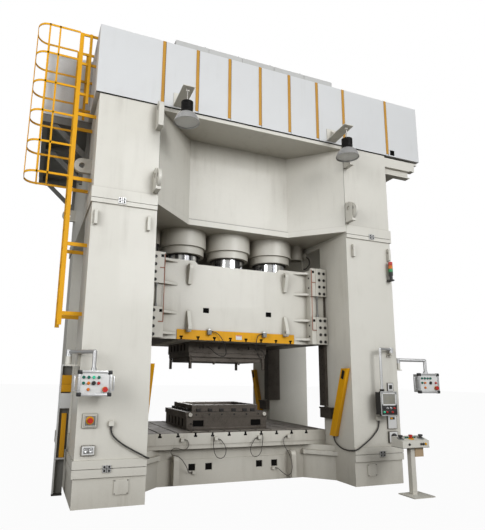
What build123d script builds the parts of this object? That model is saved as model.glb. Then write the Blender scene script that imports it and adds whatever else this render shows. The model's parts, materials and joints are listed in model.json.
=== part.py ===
from build123d import *
import math
import os

# Main sizes of the frame
half_width = 2760.0
inner_half = 1755.0
press_depth = 3860.0
column_depth = 850.0
flange_proud = 22.0
foot_top = 386.0
lower_seam = 497.0
lower_band_top = 609.0
upper_band_bottom = 4241.0
upper_seam = 4310.0
upper_band_top = 4480.0
seam_gap = 8.0
window_bottom = 640.0
key_width = 112.0
key_height = 92.0
key_x = 2304.0

# Bed and bolster
bed_front = 955.0
bed_panel_half = 1345.0
bed_plate_top = 396.0
bolster_bottom = 574.0
bolster_top = 822.0
bolster_front = 835.0
bolster_half = 1745.0
slot_pitch = 300.0
slot_neck = 32.0
slot_head = 60.0
bolster_slot_depth = 62.0
slide_slot_depth = 62.0

# Crown
crown_bottom = 4347.0
recess_top = 5959.0
crown_top = 6036.0
recess_front = 778.0
recess_half = 991.0
lip_height = 104.0
lip_proud = 14.0

# Cladding above the crown
cladding_top = 7213.0
cladding_left = 2800.0
cladding_right = 3595.0
cladding_thick = 60.0
cladding_proud = 18.0
strip_pitch = 590.7
strip_width = 50.0
strip_first = -1752.0
tank_left = -1475.0
tank_right = 1786.0
tank_top = cladding_top + 347.0
wing_left = 3540.0
wing_front = 1000.0

# Slide
slide_front = 842.0
slide_bottom = 2342.0
slide_top = 3660.0
raised_top = 3720.0
ear_top = 3740.0
ear_inner = 1415.0
ear_front = 705.0
guide_clearance = 1.0
rail_proud = 55.0
rail_bottom = 1240.0
rail_top = 3790.0
shoe_thick = 60.0
shoe_inner = 1510.0
shoe_outer = 1745.0

# Cylinders
main_pitch = 905.0
row_offset = 554.0
collar_radius = 432.5
collar_bottom = 4030.0
step_radius = 393.5
step_bottom = 3893.0
ram_radius = 300.0
ram_top = 4900.0
bore_top = 5100.0
bore_clearance = 0.05
stem_reach = 10.0
stem_room = 18.0
chamber_gap = 10.0
return_x = 1498.0
return_collar_radius = 155.0
return_collar_bottom = 4072.0
return_rod_radius = 128.0

# Dies
die_half = 770.0
lower_die_top = 1120.0
lower_rim_top = 1235.0
upper_die_bottom = 2000.0
pin_bottom = 1868.0

half_depth = press_depth / 2
body_half = half_width - flange_proud
sides = (-1, 1)


def deep(distance):
    # Distance behind the front face of the columns, as a position
    return distance - half_depth


def box(xa, xb, ya, yb, za, zb):
    middle = Pos((xa + xb) / 2, (ya + yb) / 2, (za + zb) / 2)
    return middle * Box(abs(xb - xa), abs(yb - ya), abs(zb - za))


def rod(start, end, radius):
    axis = Vector(*end) - Vector(*start)
    plane = Plane(origin=Vector(*start), z_dir=axis)
    return Solid.make_cylinder(radius, axis.length, plane)


def cone(start, end, radius_a, radius_b):
    axis = Vector(*end) - Vector(*start)
    plane = Plane(origin=Vector(*start), z_dir=axis)
    return Solid.make_cone(radius_a, radius_b, axis.length, plane)


def plan_plate(points, za, zb):
    outline = Polyline([(x, y, za) for x, y in points], close=True)
    return extrude(make_face(outline), amount=zb - za, dir=(0, 0, 1))


def side_plate(points, xa, xb):
    outline = Polyline([(xa, y, z) for y, z in points], close=True)
    return extrude(make_face(outline), amount=xb - xa, dir=(1, 0, 0))


def front_plate(points, ya, yb):
    outline = Polyline([(x, ya, z) for x, z in points], close=True)
    return extrude(make_face(outline), amount=yb - ya, dir=(0, 1, 0))


def fuse(pieces):
    result = pieces[0]
    for piece in pieces[1:]:
        result = result + piece
    return result


def group(pieces):
    return Compound(children=[solid for piece in pieces for solid in piece.solids()])


def turn_back(shape):
    # The same feature on the rear face
    return mirror(shape, about=Plane.XZ)


def turn_side(shape):
    # The same feature on the other side
    return mirror(shape, about=Plane.YZ)


def four_ways(pieces):
    shapes = list(pieces)
    shapes += [turn_side(piece) for piece in pieces]
    return shapes + [turn_back(piece) for piece in shapes]


def prism(center, radius, height, direction, count=8):
    # Bolt heads and other small round pieces, drawn with flats
    plane = Plane(origin=center, z_dir=direction)
    outline = plane * RegularPolygon(radius, count)
    return extrude(outline, amount=height, dir=direction)


def lug(x, front, back, low, high, thick, hole, hole_z):
    # A plate standing out from a wall, round at the top, with an eye
    radius = abs(back - front) / 2
    half = thick / 2
    middle = (front + back) / 2
    crest = high - radius
    plate = box(x - half, x + half, front, back, low, crest)
    head = rod((x - half, middle, crest), (x + half, middle, crest), radius)
    eye = rod((x - thick, middle, hole_z), (x + thick, middle, hole_z), hole)
    return plate + head - eye


def cord(points, diameter):
    # A cable: straight runs joined by tangent arcs
    runs = [Vector(*b) - Vector(*a) for a, b in zip(points, points[1:])]
    radii = []
    turns = []
    for before, after in zip(runs, runs[1:]):
        turn = math.radians(before.get_angle(after))
        shorter = min(before.length, after.length)
        turns.append(math.degrees(turn))
        radii.append(0.45 * shorter / math.tan(turn / 2))
    path = FilletPolyline(*points, radius=radii)
    section = Plane(origin=path @ 0, z_dir=path % 0) * Circle(diameter / 2)
    tube = sweep(section, path=path)
    expected = math.pi * diameter ** 2 / 4 * path.length
    longest = max(run.length for run in runs) / diameter
    print("cable", diameter, "corners", len(radii), "least radius", round(min(radii) / diameter, 1),
          "most turn", round(max(turns)), "longest run", round(longest, 1),
          "volume ratio", round(tube.volume / expected, 3), "radii", [round(r) for r in radii])
    return tube


# Bed
def make_bed():
    cheek = inner_half - bed_panel_half
    front = deep(bed_front)
    corner = front - cheek
    outline = [(-inner_half, corner), (-bed_panel_half, front)]
    outline += [(-x, y) for x, y in reversed(outline)]
    outline += [(x, -y) for x, y in reversed(outline)]
    lower = plan_plate(outline, 0, bed_plate_top)
    inset = 20.0
    upper_outline = [(x, y + inset if y < 0 else y - inset) for x, y in outline]
    upper = plan_plate(upper_outline, bed_plate_top, bolster_bottom)
    bed = lower + upper
    ledge_out = 70.0
    ledge_start = bed_panel_half - 30
    ledge = [(ledge_start, front + 60), (ledge_start, front - ledge_out)]
    ledge += [(bed_panel_half, front - ledge_out), (inner_half, corner - ledge_out)]
    ledge += [(inner_half, corner + 90)]
    for side in sides:
        for end in sides:
            bed += plan_plate([(side * x, -end * y) for x, y in ledge], 410, 480)
    hole_width = 120.0
    for end in sides:
        for x in (-762, -467, 467, 762):
            low = x - hole_width / 2
            bed -= box(low, low + hole_width, end * (front - 5), end * (front + 180), 219, 326)
    lug_front = deep(800)
    for side in sides:
        plate = lug(side * 1070, lug_front, front + 5, 40, 485, 90, 34, 395)
        bed += plate
        bed += turn_back(plate)
    return bed


# Uprights
def make_upright(side):
    inner = inner_half
    outer = half_width
    pieces = []
    pieces.append(box(inner, body_half, -half_depth, half_depth, 0, foot_top))
    flange = half_depth + flange_proud
    pieces.append(box(inner, outer, -flange, flange, foot_top, lower_seam - seam_gap / 2))
    pieces.append(box(inner, body_half - 8, -half_depth + 8, half_depth - 8, foot_top, lower_band_top))
    pieces.append(box(inner, outer, -flange, flange, lower_seam + seam_gap / 2, lower_band_top))
    for end in sides:
        pieces.append(box(inner, body_half, end * half_depth, end * (half_depth - column_depth),
                          lower_band_top, upper_band_bottom))
    window = half_depth - column_depth
    pieces.append(box(inner + 30, body_half - 30, -window, window, lower_band_top, window_bottom))
    pieces.append(box(inner, outer, -flange, flange, upper_band_bottom, upper_seam - seam_gap / 2))
    upright = fuse(pieces)
    for end in sides:
        eye = lug(1885, end * (half_depth + 62), end * (half_depth - 8), 3892, 4118, 44, 15, 4040)
        upright += eye
        upright += Pos(790, 0, 0) * eye
    return upright if side > 0 else turn_side(upright)


# Crown
def make_crown():
    flange = half_depth + flange_proud
    pieces = []
    neck = half_depth - 8
    for side in sides:
        inner = side * inner_half
        base = upper_seam + seam_gap / 2
        pieces.append(box(inner, side * half_width, -flange, flange, base, upper_band_top))
        pieces.append(box(inner, side * (body_half - 8), -neck, neck, upper_seam, upper_band_top))
        pieces.append(box(inner, side * body_half, -half_depth, half_depth, upper_band_top, crown_top))
    front = deep(recess_front)
    outline = [(-inner_half, -half_depth), (-recess_half, front)]
    outline += [(-x, y) for x, y in reversed(outline)]
    outline += [(x, -y) for x, y in reversed(outline)]
    pieces.append(plan_plate(outline, crown_bottom, recess_top))
    pieces.append(box(-inner_half, inner_half, -half_depth, half_depth, recess_top, crown_top))
    lip = [(-inner_half, -half_depth - lip_proud), (-recess_half - 6, front - lip_proud),
           (recess_half + 6, front - lip_proud), (inner_half, -half_depth - lip_proud)]
    lip += [(x, -y) for x, y in reversed(lip)]
    pieces.append(plan_plate(lip, crown_bottom, crown_bottom + lip_height))
    crown = fuse(pieces)
    for side in sides:
        for end in sides:
            tip = end * (half_depth + 200)
            root = end * (half_depth - 10)
            upper = lug(side * 1800, tip, root, 5580, 6030, 80, 42, 5920)
            lower = lug(side * 1800, tip, root, 4520, 4888, 80, 42, 4770)
            crown += upper
            crown += lower
            eye_y = -end * (half_depth - 600)
            ear = box(side * (body_half - 10), side * 2880, eye_y - 35, eye_y + 35, 4910, 5150)
            ear += rod((side * 2880, eye_y - 35, 5030), (side * 2880, eye_y + 35, 5030), 120)
            ear -= rod((side * 2880, eye_y - 50, 5030), (side * 2880, eye_y + 50, 5030), 47)
            crown += ear
    for x in (-main_pitch, 0, main_pitch):
        for end in sides:
            y = end * row_offset
            crown -= rod((x, y, crown_bottom - 5), (x, y, bore_top), ram_radius + chamber_gap)
    for side in sides:
        for end in sides:
            start = (side * return_x, end * row_offset, crown_bottom - 5)
            finish = (side * return_x, end * row_offset, bore_top)
            crown -= rod(start, finish, return_rod_radius + chamber_gap)
    return crown


# Key plates across the joints and the tie rod nuts on top
def make_keys():
    plates = []
    flange = half_depth + flange_proud
    for side in sides:
        for end in sides:
            for z in (lower_seam, upper_seam):
                x = side * key_x
                plate = box(x - key_width / 2, x + key_width / 2, end * flange, end * (flange + 14),
                            z - key_height / 2, z + key_height / 2)
                plates.append(plate)
    return group(plates)


def make_tie_nuts():
    pieces = []
    for side in sides:
        for end in sides:
            x = side * (inner_half + half_width) / 2
            y = end * (half_depth - column_depth / 2)
            nut = prism((x, y, crown_top), 300, 260, (0, 0, 1), 8)
            washer = rod((x, y, crown_top), (x, y, crown_top + 50), 360)
            stud = rod((x, y, crown_top), (x, y, crown_top + 360), 190)
            pieces.append(washer + nut + stud)
    return group(pieces)


# Guide rails on the inner corners of the columns, with stop blocks below
def make_rails():
    corner = half_depth - column_depth
    lead = corner + 140
    pieces = []
    shape = [(inner_half - rail_proud, -lead), (inner_half, -lead), (inner_half, -corner), (1990, -corner),
             (1990, -corner + rail_proud), (inner_half - rail_proud, -corner + rail_proud)]
    rail = plan_plate(shape, rail_bottom, rail_top)
    pieces.append(rail)
    block = box(inner_half - 92, inner_half, -lead - 180, -corner, 1035, 1195)
    cap = box(inner_half - 110, inner_half, -lead - 195, -corner, 1195, 1222)
    pieces.append(block + cap)
    return group(four_ways(pieces))


# Bolster with its slots
def make_bolster():
    half = half_depth - bolster_front
    bolster = box(-bolster_half, bolster_half, -half, half, bolster_bottom, bolster_top)
    for end in sides:
        bolster -= box(-bolster_half - 5, bolster_half + 5, end * (half + 5), end * (half - 14),
                       bolster_bottom - 5, bolster_bottom + 70)
    for index in range(10):
        x = (index - 4.5) * slot_pitch
        neck = slot_neck / 2
        head = slot_head / 2
        floor = bolster_top - bolster_slot_depth
        bolster -= box(x - neck, x + neck, -half - 5, half + 5, bolster_top - 34, bolster_top + 5)
        bolster -= box(x - head, x + head, -half - 5, half + 5, floor, bolster_top - 34)
    for y in (-900, -300, 300, 900):
        bolster -= box(-bolster_half - 5, bolster_half + 5, y - slot_neck / 2, y + slot_neck / 2,
                       bolster_top - 34, bolster_top + 5)
    return bolster


# Dies
def make_lower_die():
    front = deep(1270)
    seat = bolster_top
    die = box(-die_half, die_half, front, -front, seat, 1035)
    die += box(-die_half - 15, die_half + 15, front - 15, -front + 15, 1035, lower_die_top)
    rim = box(-640, 640, front + 110, -front - 110, lower_die_top, lower_rim_top)
    rim -= box(-560, 560, front + 190, -front - 190, lower_die_top + 40, lower_rim_top + 5)
    die += rim
    for end in sides:
        for side in sides:
            die -= box(side * 455, side * 655, end * (front - 5), end * (front + 90), 877, 981)
    for side in sides:
        for index in range(5):
            y = (index - 2) * 210
            die -= box(side * (die_half - 60), side * (die_half + 5), y - 45, y + 45, 860, 1000)
    return die


def make_upper_die():
    front = deep(1265)
    body = box(-die_half, die_half, front, -front, 2155, slide_bottom)
    body += box(-die_half + 15, die_half - 15, front + 20, -front - 20, 2080, 2155)
    body += box(-700, 700, front + 70, -front - 70, upper_die_bottom, 2080)
    for side in sides:
        for index in range(5):
            y = (index - 2) * 210
            body -= box(side * (die_half - 60), side * (die_half + 5), y - 45, y + 45, 2195, 2310)
    for side in sides:
        for end in sides:
            x = side * 722
            y = end * (-front - 38)
            body += rod((x, y, pin_bottom), (x, y, 2100), 28)
    for side in sides:
        x = side * 250
        body += rod((x, front + 100, upper_die_bottom - 50), (x, front + 100, upper_die_bottom + 10), 20)
    body += box(-500, -450, front - 36, front, 2234, 2280)
    body += box(400, 450, front - 36, front, 2240, 2284)
    return body


# Main cylinders and return cylinders
hose_level = 4190.0


def make_main_cylinders():
    pieces = []
    for x in (-main_pitch, 0, main_pitch):
        for end in sides:
            y = end * row_offset
            tube = rod((x, y, collar_bottom), (x, y, crown_bottom), collar_radius)
            tube += rod((x, y, step_bottom), (x, y, collar_bottom), step_radius)
            tube -= rod((x, y, step_bottom - 5), (x, y, crown_bottom + 5), ram_radius + bore_clearance)
            pieces.append(tube)
    return group(pieces)


def make_return_cylinders():
    pieces = []
    for side in sides:
        for end in sides:
            x = side * return_x
            y = end * row_offset
            tube = rod((x, y, return_collar_bottom), (x, y, crown_bottom), return_collar_radius)
            port = rod((x, y, hose_level), (x + side * 222, y, hose_level), 62)
            port += rod((x + side * 190, y, hose_level), (x + side * 222, y, hose_level), 84)
            tube += port
            if side > 0 and end < 0:
                tube += box(x + 160, x + 192, y - 20, y + 20, 3905, hose_level)
            tube -= rod((x, y, return_collar_bottom - 5), (x, y, crown_bottom + 5),
                        return_rod_radius + bore_clearance)
            pieces.append(tube)
    return group(pieces)


# Platform frame on the crown: floor beams, wing and overhang supports
def make_platform():
    pieces = []
    top = cladding_top - 20
    left = cladding_left - cladding_thick
    right = cladding_right - cladding_thick
    front = half_depth - 60
    pieces.append(box(-left + 20, right - 20, -front, front, top - 60, top))
    for x in (-2600, -900, 900, 2600):
        for y in (-700, 700):
            pieces.append(box(x - 60, x + 60, y - 60, y + 60, crown_top, top - 60))
    for y in (-front, -650, 650, front):
        edge = 60 if abs(y) > 1000 else 50
        pieces.append(box(body_half, 3470, y - edge, y + edge, 5815, 5954))
        pieces.append(box(body_half, 3340, y - edge, y + edge, 5800, 5815))
        pieces.append(box(body_half, 3340, y - 10, y + 10, 5665, 5800))
        pieces.append(box(body_half, 3340, y - edge, y + edge, 5650, 5665))
    pieces.append(box(body_half, right, -half_depth, half_depth, 5954, 5990))
    pieces.append(box(right - 120, right, -front, front, 5990, cladding_top - 80))
    return fuse(pieces)


# Cladding panels around the platform
def make_cladding():
    front = -half_depth - cladding_proud
    back = -front
    low = crown_top
    pieces = []
    pieces.append(box(-cladding_left, cladding_right, front, front + cladding_thick, low, cladding_top))
    pieces.append(box(-cladding_left, cladding_right, back - cladding_thick, back, low, cladding_top))
    pieces.append(box(cladding_right - cladding_thick, cladding_right, front, back, low, cladding_top))
    pieces.append(box(-cladding_left, -cladding_left + cladding_thick, front, back, low, cladding_top))
    shell = fuse(pieces)
    shell -= box(2870, 2980, front - 5, front + 45, low + 20, low + 130)
    return shell


def make_strips():
    front = -half_depth - cladding_proud
    pieces = []
    places = [strip_first + strip_pitch * index for index in range(7)]
    places.append(2804.0)
    for x in places:
        left = x - strip_width / 2
        pieces.append(box(left, left + strip_width, front - 8, front, crown_top + 30, cladding_top - 4))
    return group(pieces)


# Oil tank tier behind the top edge
def make_tank():
    front = deep(300)
    base = cladding_top - 20
    pieces = []
    joints = [tank_left, -850, -187, 480, 1140, tank_right]
    for start, end in zip(joints, joints[1:]):
        pieces.append(box(start + 4, end - 4, front, front + 1500, base, tank_top))
    pieces.append(box(tank_left + 20, tank_right - 20, front + 10, front + 1490, base, tank_top - 6))
    for x in joints[1:-1]:
        pieces.append(box(x - 60, x - 40, front + 60, front + 120, tank_top - 10, tank_top + 60))
    return fuse(pieces)


# Left wing of the cladding, on its own frame
def make_wing():
    front = deep(wing_front)
    wall = 50.0
    outer = -wing_left
    inner = -cladding_left
    pieces = []
    mid = 6620.0
    pieces.append(box(outer, outer + wall, front, half_depth, crown_top, cladding_top))
    pieces.append(box(outer, inner, front, front + wall, crown_top, cladding_top))
    pieces.append(box(outer, inner, half_depth - wall, half_depth, crown_top, cladding_top))
    pieces.append(box(outer, inner, front, half_depth, cladding_top - 30, cladding_top))
    shell = fuse(pieces)
    shell -= box(outer - 5, outer + 12, front - 5, half_depth + 5, mid - 6, mid + 6)
    shell -= box(outer - 5, inner, front - 5, front + 12, mid - 6, mid + 6)
    return shell


def make_wing_frame():
    front = deep(wing_front)
    pieces = []
    for y in (front + 60, 200, half_depth - 60):
        pieces.append(box(-wing_left + 10, -body_half, y - 50, y + 50, 5900, crown_top))
        pieces.append(box(-2800, -body_half, y - 30, y + 30, 5320, 5902))
        brace = [(-2790, 5330), (-2790, 5450), (-3300, 5905), (-3420, 5905)]
        pieces.append(front_plate(brace, y - 25, y + 25))
    pieces.append(box(-wing_left + 10, -wing_left + 90, front + 10, half_depth - 10, 5900, crown_top))
    pieces.append(box(-wing_left + 10, -body_half, front + 10, half_depth - 10, crown_top - 30, crown_top))
    return fuse(pieces)


# Ladder and its cage
ladder_x = -3050.0
ladder_near = 300.0
ladder_far = 800.0
rung_pitch = 290.0
ladder_bottom = 2431.0
ladder_top = 7205.0


def make_ladder():
    near = deep(ladder_near)
    far = deep(ladder_far)
    pieces = []
    for y in (near, far):
        pieces.append(box(ladder_x - 32, ladder_x + 32, y - 9, y + 9, ladder_bottom, ladder_top))
        for z in (2600, 3640, 4680, 5760):
            pieces.append(box(ladder_x + 32, -body_half, y - 8, y + 8, z - 28, z + 28))
    count = int((ladder_top - ladder_bottom - 200) / rung_pitch) + 1
    for index in range(count):
        z = ladder_bottom + 110 + index * rung_pitch
        pieces.append(rod((ladder_x, near + 9, z), (ladder_x, far - 9, z), 15))
    for y in (near, far):
        for z in (7180, 6650, 6110):
            pieces.append(box(ladder_x + 32, -cladding_left, y - 9, y + 9, z - 22, z + 22))
        outside = 1 if y > near else -1
        pieces.append(box(-2927, -2883, y + outside * 9, y + outside * 27, 5950, 7200))
    return group(pieces)


def make_cage():
    near = deep(ladder_near)
    far = deep(ladder_far)
    reach = -3725.0
    thick = 8.0
    corner = 150.0
    pieces = []
    levels = (7205, 6706, 6205, 5704, 5203, 4703)
    half = [(ladder_x - 32, near - 9), (reach + corner, near - 9), (reach, near - 9 + corner)]
    outside = half + [(x, near + far - y) for x, y in reversed(half)]
    half = [(ladder_x - 32, near - 9 + thick), (reach + corner, near - 9 + thick),
            (reach + thick, near - 6 + corner)]
    inside = half + [(x, near + far - y) for x, y in reversed(half)]
    bends = list(zip(outside, inside))
    for z in levels:
        # Each hoop in five flat runs, welded end to end
        for (outer_a, inner_a), (outer_b, inner_b) in zip(bends, bends[1:]):
            pieces.append(plan_plate([outer_a, outer_b, inner_b, inner_a], z - 25, z + 25))
    for a, b in zip(levels, levels[1:]):
        for y in (near - 9, far + 9 - thick):
            for x in (-3390, reach + corner + 10):
                pieces.append(box(x - 20, x + 20, y, y + thick, a - 25, b + 25))
        for y in (near + corner, (near + far) / 2, far - corner):
            pieces.append(box(reach, reach + thick, y - 20, y + 20, a - 25, b + 25))
    return group(pieces)


# Lamps on bracket plates
lamp_places = (-1470.0, 1496.0)
lamp_y = -half_depth - 480
lamp_pin_z = 6088.0
lamp_pin_radius = 6.0


def make_lamp_brackets():
    wall = -half_depth - cladding_proud
    pieces = []
    for x in lamp_places:
        shape = [(wall, 6062), (wall, 6082), (lamp_y - 80, 6132), (lamp_y - 80, 6118)]
        arm = side_plate(shape, x - 95, x + 95)
        back = box(x - 95, x + 95, wall - 12, wall, 6062, 6300)
        rib = side_plate([(wall, 6080), (wall, 6280), (wall - 200, 6096)], x - 8, x + 8)
        fork = box(x - 24, x - 12, lamp_y - 16, lamp_y + 16, 6072, 6126)
        fork += box(x + 12, x + 24, lamp_y - 16, lamp_y + 16, 6072, 6126)
        pin = rod((x - 24, lamp_y, lamp_pin_z), (x + 24, lamp_y, lamp_pin_z), lamp_pin_radius)
        pieces.append(arm + back + rib + fork + pin)
    return group(pieces)


def make_lamp(x):
    hook = rod((x, lamp_y, 5902), (x, lamp_y, 6072), 9)
    hook += box(x - 10, x + 10, lamp_y - 14, lamp_y + 14, 6068, 6102)
    hook -= rod((x - 20, lamp_y, lamp_pin_z), (x + 20, lamp_y, lamp_pin_z), lamp_pin_radius + bore_clearance)
    fins = rod((x, lamp_y, 5750), (x, lamp_y, 5902), 62)
    for index in range(6):
        z = 5758 + index * 26
        fins += rod((x, lamp_y, z), (x, lamp_y, z + 10), 95)
    bell = cone((x, lamp_y, 5502), (x, lamp_y, 5752), 200, 80)
    inside = cone((x, lamp_y, 5495), (x, lamp_y, 5735), 194, 72)
    lens = rod((x, lamp_y, 5530), (x, lamp_y, 5545), 184)
    return hook + fins + (bell - inside) + lens


# Signal tower on the right edge
def make_signal_tower():
    x = 2665.0
    y = -half_depth - 70
    pieces = []
    base = box(x - 40, x + 40, y - 40, -half_depth, 3500, 3526)
    pieces.append(base + rod((x, y, 3526), (x, y, 3600), 30))
    for index in range(4):
        pieces.append(rod((x, y, 3600 + index * 64), (x, y, 3664 + index * 64), 36))
    return group(pieces)


# Light curtains leaning on the inner faces of the columns
def make_curtains():
    bar = [(deep(32), 1908), (deep(194), 1908), (deep(604), 745), (deep(436), 745)]
    post = side_plate(bar, inner_half - 70, inner_half)
    return group(four_ways([post]))


# Boxes, sockets and frames on the column faces
wall_stop_place = (-2567.0, -half_depth - 34, 1127.0)
wall_stop_stem = 20.0


def stem_hole(place, depth_sign_y, depth_sign_z, radius):
    # Room for a pressed stem, from its mouth into the housing
    x, y, z = place
    start = (x, y - depth_sign_y, z - depth_sign_z * stem_room)
    stop = (x, y + depth_sign_y * stem_room, z + depth_sign_z * stem_room)
    return rod(start, stop, radius + bore_clearance)


def make_wall_boxes():
    face = -half_depth
    pieces = []
    stop_box = box(-2666, -2467, face - 20, face, 1029, 1214)
    stop_box += box(-2639, -2488, face - 34, face - 20, 1050, 1195)
    stop_box -= stem_hole(wall_stop_place, 1, 0, wall_stop_stem)
    pieces.append(stop_box)
    pieces.append(box(-2650, -2479, face - 30, face, 679, 798))
    pieces.append(box(-2312, -2240, face - 46, face, 1050, 1110))
    pieces.append(box(2225, 2297, face - 46, face, 1040, 1100))
    pieces.append(box(2496, 2614, face - 16, face, 1531, 1666))
    pieces.append(box(2456, 2645, face - 24, face, 900, 1110))
    pieces.append(box(2462, 2642, face - 36, face, 672, 851))
    pieces.append(box(-2195, -1996, face - 14, face, 157, 347))
    pieces.append(box(1999, 2178, face - 14, face, 154, 342))
    front = deep(bolster_front)
    for x in (-985, -400, 400, 972):
        pieces.append(box(x - 28, x + 28, front - 52, front, 700, 752))
    for x in (-450, 450):
        pieces.append(box(x - 24, x + 24, front + 8, front + 60, bolster_top - bolster_slot_depth, 784))
    bed = deep(bed_front)
    for side in sides:
        pieces.append(box(side * 704, side * 760, bed - 40, bed, 170, 216))
    return group(pieces)


def make_wall_stop():
    x, y, z = wall_stop_place
    stem = rod((x, y - 26, z), (x, y + stem_reach, z), wall_stop_stem)
    head = rod((x, y - 50, z), (x, y - 26, z), 36)
    return stem + head


def make_switch_knob():
    x = 2557.0
    y = -half_depth - 36
    disc = rod((x, y - 18, 762), (x, y, 762), 48)
    grip = box(x - 12, x + 12, y - 44, y - 18, 762 - 42, 762 + 42)
    return disc + grip


# Slide
def make_slide():
    front = half_depth - slide_front
    wide = inner_half - rail_proud - guide_clearance
    ear = half_depth - ear_front
    body = box(-wide, wide, -front, front, slide_bottom, slide_top)
    for end in sides:
        shape = [(-wide, slide_top), (-wide, raised_top), (-837, raised_top), (-776, slide_top)]
        wall = front_plate(shape, 0, 70)
        wall += turn_side(wall)
        offset = -front if end < 0 else front - 70
        body += Pos(0, offset, 0) * wall
        for side in sides:
            body += box(side * ear_inner, side * wide, end * (front - 60), end * ear, slide_bottom, ear_top)
            for z in (3681, 3275, 2783, 2432):
                rib = plan_plate([(side * ear_inner, end * (ear - 25)), (side * 1130, end * front),
                                  (side * ear_inner, end * front)], z - 20, z + 20)
                body += rib
            lug_x = side * 935
            high_lug = [(0, 3290), (60, 3290), (130, 3560), (130, 3610), (95, 3648), (30, 3648), (0, 3620)]
            low_lug = [(0, 2826), (40, 2826), (130, 2560), (130, 2510), (95, 2470), (30, 2470), (0, 2490)]
            upper = side_plate([(-front - out, z) for out, z in high_lug], lug_x - 30, lug_x + 30)
            upper -= rod((lug_x - 50, -front - 75, 3585), (lug_x + 50, -front - 75, 3585), 30)
            lower = side_plate([(-front - out, z) for out, z in low_lug], lug_x - 30, lug_x + 30)
            lower -= rod((lug_x - 50, -front - 75, 2535), (lug_x + 50, -front - 75, 2535), 30)
            body += upper if end < 0 else turn_back(upper)
            body += lower if end < 0 else turn_back(lower)
            x = side * 608
            body -= box(x - 56, x + 56, end * (front - 160), end * (front + 5), 2812, 2900)
    for index in range(8):
        x = (index - 3.5) * slot_pitch
        neck = slot_neck / 2
        head = slot_head / 2
        top = slide_bottom + slide_slot_depth
        body -= box(x - neck, x + neck, -front - 5, front + 5, slide_bottom - 5, slide_bottom + 34)
        body -= box(x - head, x + head, -front - 5, front + 5, slide_bottom + 34, top)
    return body


def make_slide_band():
    front = half_depth - slide_front
    thick = 14.0
    pieces = []
    for end in sides:
        band = box(-1128, 1128, end * front, end * (front + thick), slide_bottom, 2508)
        for index in range(8):
            x = (index - 3.5) * slot_pitch
            band -= box(x - slot_neck / 2, x + slot_neck / 2, end * (front - 5), end * (front + thick + 5),
                        slide_bottom - 5, slide_bottom + 34)
            top = slide_bottom + slide_slot_depth
            band -= box(x - slot_head / 2, x + slot_head / 2, end * (front - 5), end * (front + thick + 5),
                        slide_bottom + 34, top)
        for side in sides:
            band -= box(side * 900, side * 970, end * (front - 5), end * (front + thick + 5), 2465, 2515)
        pieces.append(band)
    for x in (-558, 498):
        disc = rod((x, -front - 46, 2508), (x, -front - 46, 2536), 30)
        pieces.append(disc + box(x - 30, x + 30, -front - 76, -front - thick, 2440, 2508))
    return group(pieces)


shoe_levels = ((3240.0, 3770.0), (2342.0, 2845.0))
bolt_rows = (3290.0, 2391.0)


def make_shoes():
    pieces = []
    front = -(half_depth - ear_front)
    for low, high in shoe_levels:
        plate = box(shoe_inner, shoe_outer, front - shoe_thick, front, low, high)
        strip = box(ear_inner, shoe_inner, front - shoe_thick + 14, front, low, high)
        strip -= box(1440, 1490, front - shoe_thick, front - shoe_thick + 44, high - 90, high - 40)
        pieces.append(plate + strip)
    return group(four_ways(pieces))


def make_shoe_bolts():
    pieces = []
    front = -(half_depth - ear_front) - shoe_thick
    for start in bolt_rows:
        for x in (1585, 1685):
            for row in range(4):
                pieces.append(prism((x, front, start + 130 * row), 27, 10, (0, -1, 0)))
    return group(four_ways(pieces))


# Grease pipes beside the shoes
def make_pipes():
    pieces = []
    front = -(half_depth - ear_front) - shoe_thick + 14
    y = front - 6
    radius = 6.0
    riser = rod((1424, y, 2600), (1424, y, 3740), radius)
    for z in (3500, 2600):
        riser += rod((1424, y, z), (1508, y, z), radius)
    pieces.append(riser)
    link = rod((1550, front + 18, 2845), (1550, front + 18, 3240), 9)
    link += cone((1550, front + 18, 2845), (1550, front + 18, 2905), 26, 12)
    link += cone((1550, front + 18, 3240), (1550, front + 18, 3180), 26, 12)
    pieces.append(link)
    return group(four_ways(pieces))


# Rams and return rods
def make_rams():
    pieces = []
    for x in (-main_pitch, 0, main_pitch):
        for end in sides:
            pieces.append(rod((x, end * row_offset, slide_top), (x, end * row_offset, ram_top), ram_radius))
    return group(pieces)


def make_return_rods():
    pieces = []
    for side in sides:
        for end in sides:
            x = side * return_x
            y = end * row_offset
            pieces.append(rod((x, y, slide_top), (x, y, ram_top), return_rod_radius))
        return group(pieces)


# Arms and panels
left_arm_base = (-2890.0, -half_depth + 150, 1980.0)
right_arm_base = (2832.0, -half_depth + 80, 2020.0)
panel_arm_base = (2566.0, -half_depth - 70, 2190.0)


def make_arm_bases():
    pieces = []
    x, y, z = left_arm_base
    left = box(-2935, -body_half, y - 50, y + 50, 1850, 1868)
    left += box(-2770, -body_half, y - 50, y + 50, 1846, 2063)
    left += rod((x, y, 1868), (x, y, z), 42)
    x, y, z = right_arm_base
    right = box(2880, body_half, y - 50, y + 50, 1890, 1908)
    right += box(2770, body_half, y - 50, y + 50, 1886, 2110)
    right += rod((x, y, 1908), (x, y, z), 42)
    face = -half_depth
    front = box(2516, 2616, face - 16, face, 2120, 2250)
    front += box(2541, 2591, face - 100, face - 16, 2150, 2170)
    front += rod((2566, face - 70, 2170), (2566, face - 70, 2190), 30)
    return group([left, right, front])


def make_arm(base, drop, low, radius):
    # A cranked tube: a hub at the column, a level run and a drop to the box
    hub = rod(base, (base[0], base[1], base[2] + 90), radius + 14)
    z = base[2] + 60
    run = rod((base[0], base[1], z), (drop[0], drop[1], z), radius)
    knee = Pos(drop[0], drop[1], z) * Sphere(radius)
    fall = rod((drop[0], drop[1], low), (drop[0], drop[1], z), radius)
    return hub + run + knee + fall


def make_left_arm():
    return make_arm(left_arm_base, (-2590, -half_depth - 276), 1822, 28)


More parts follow.
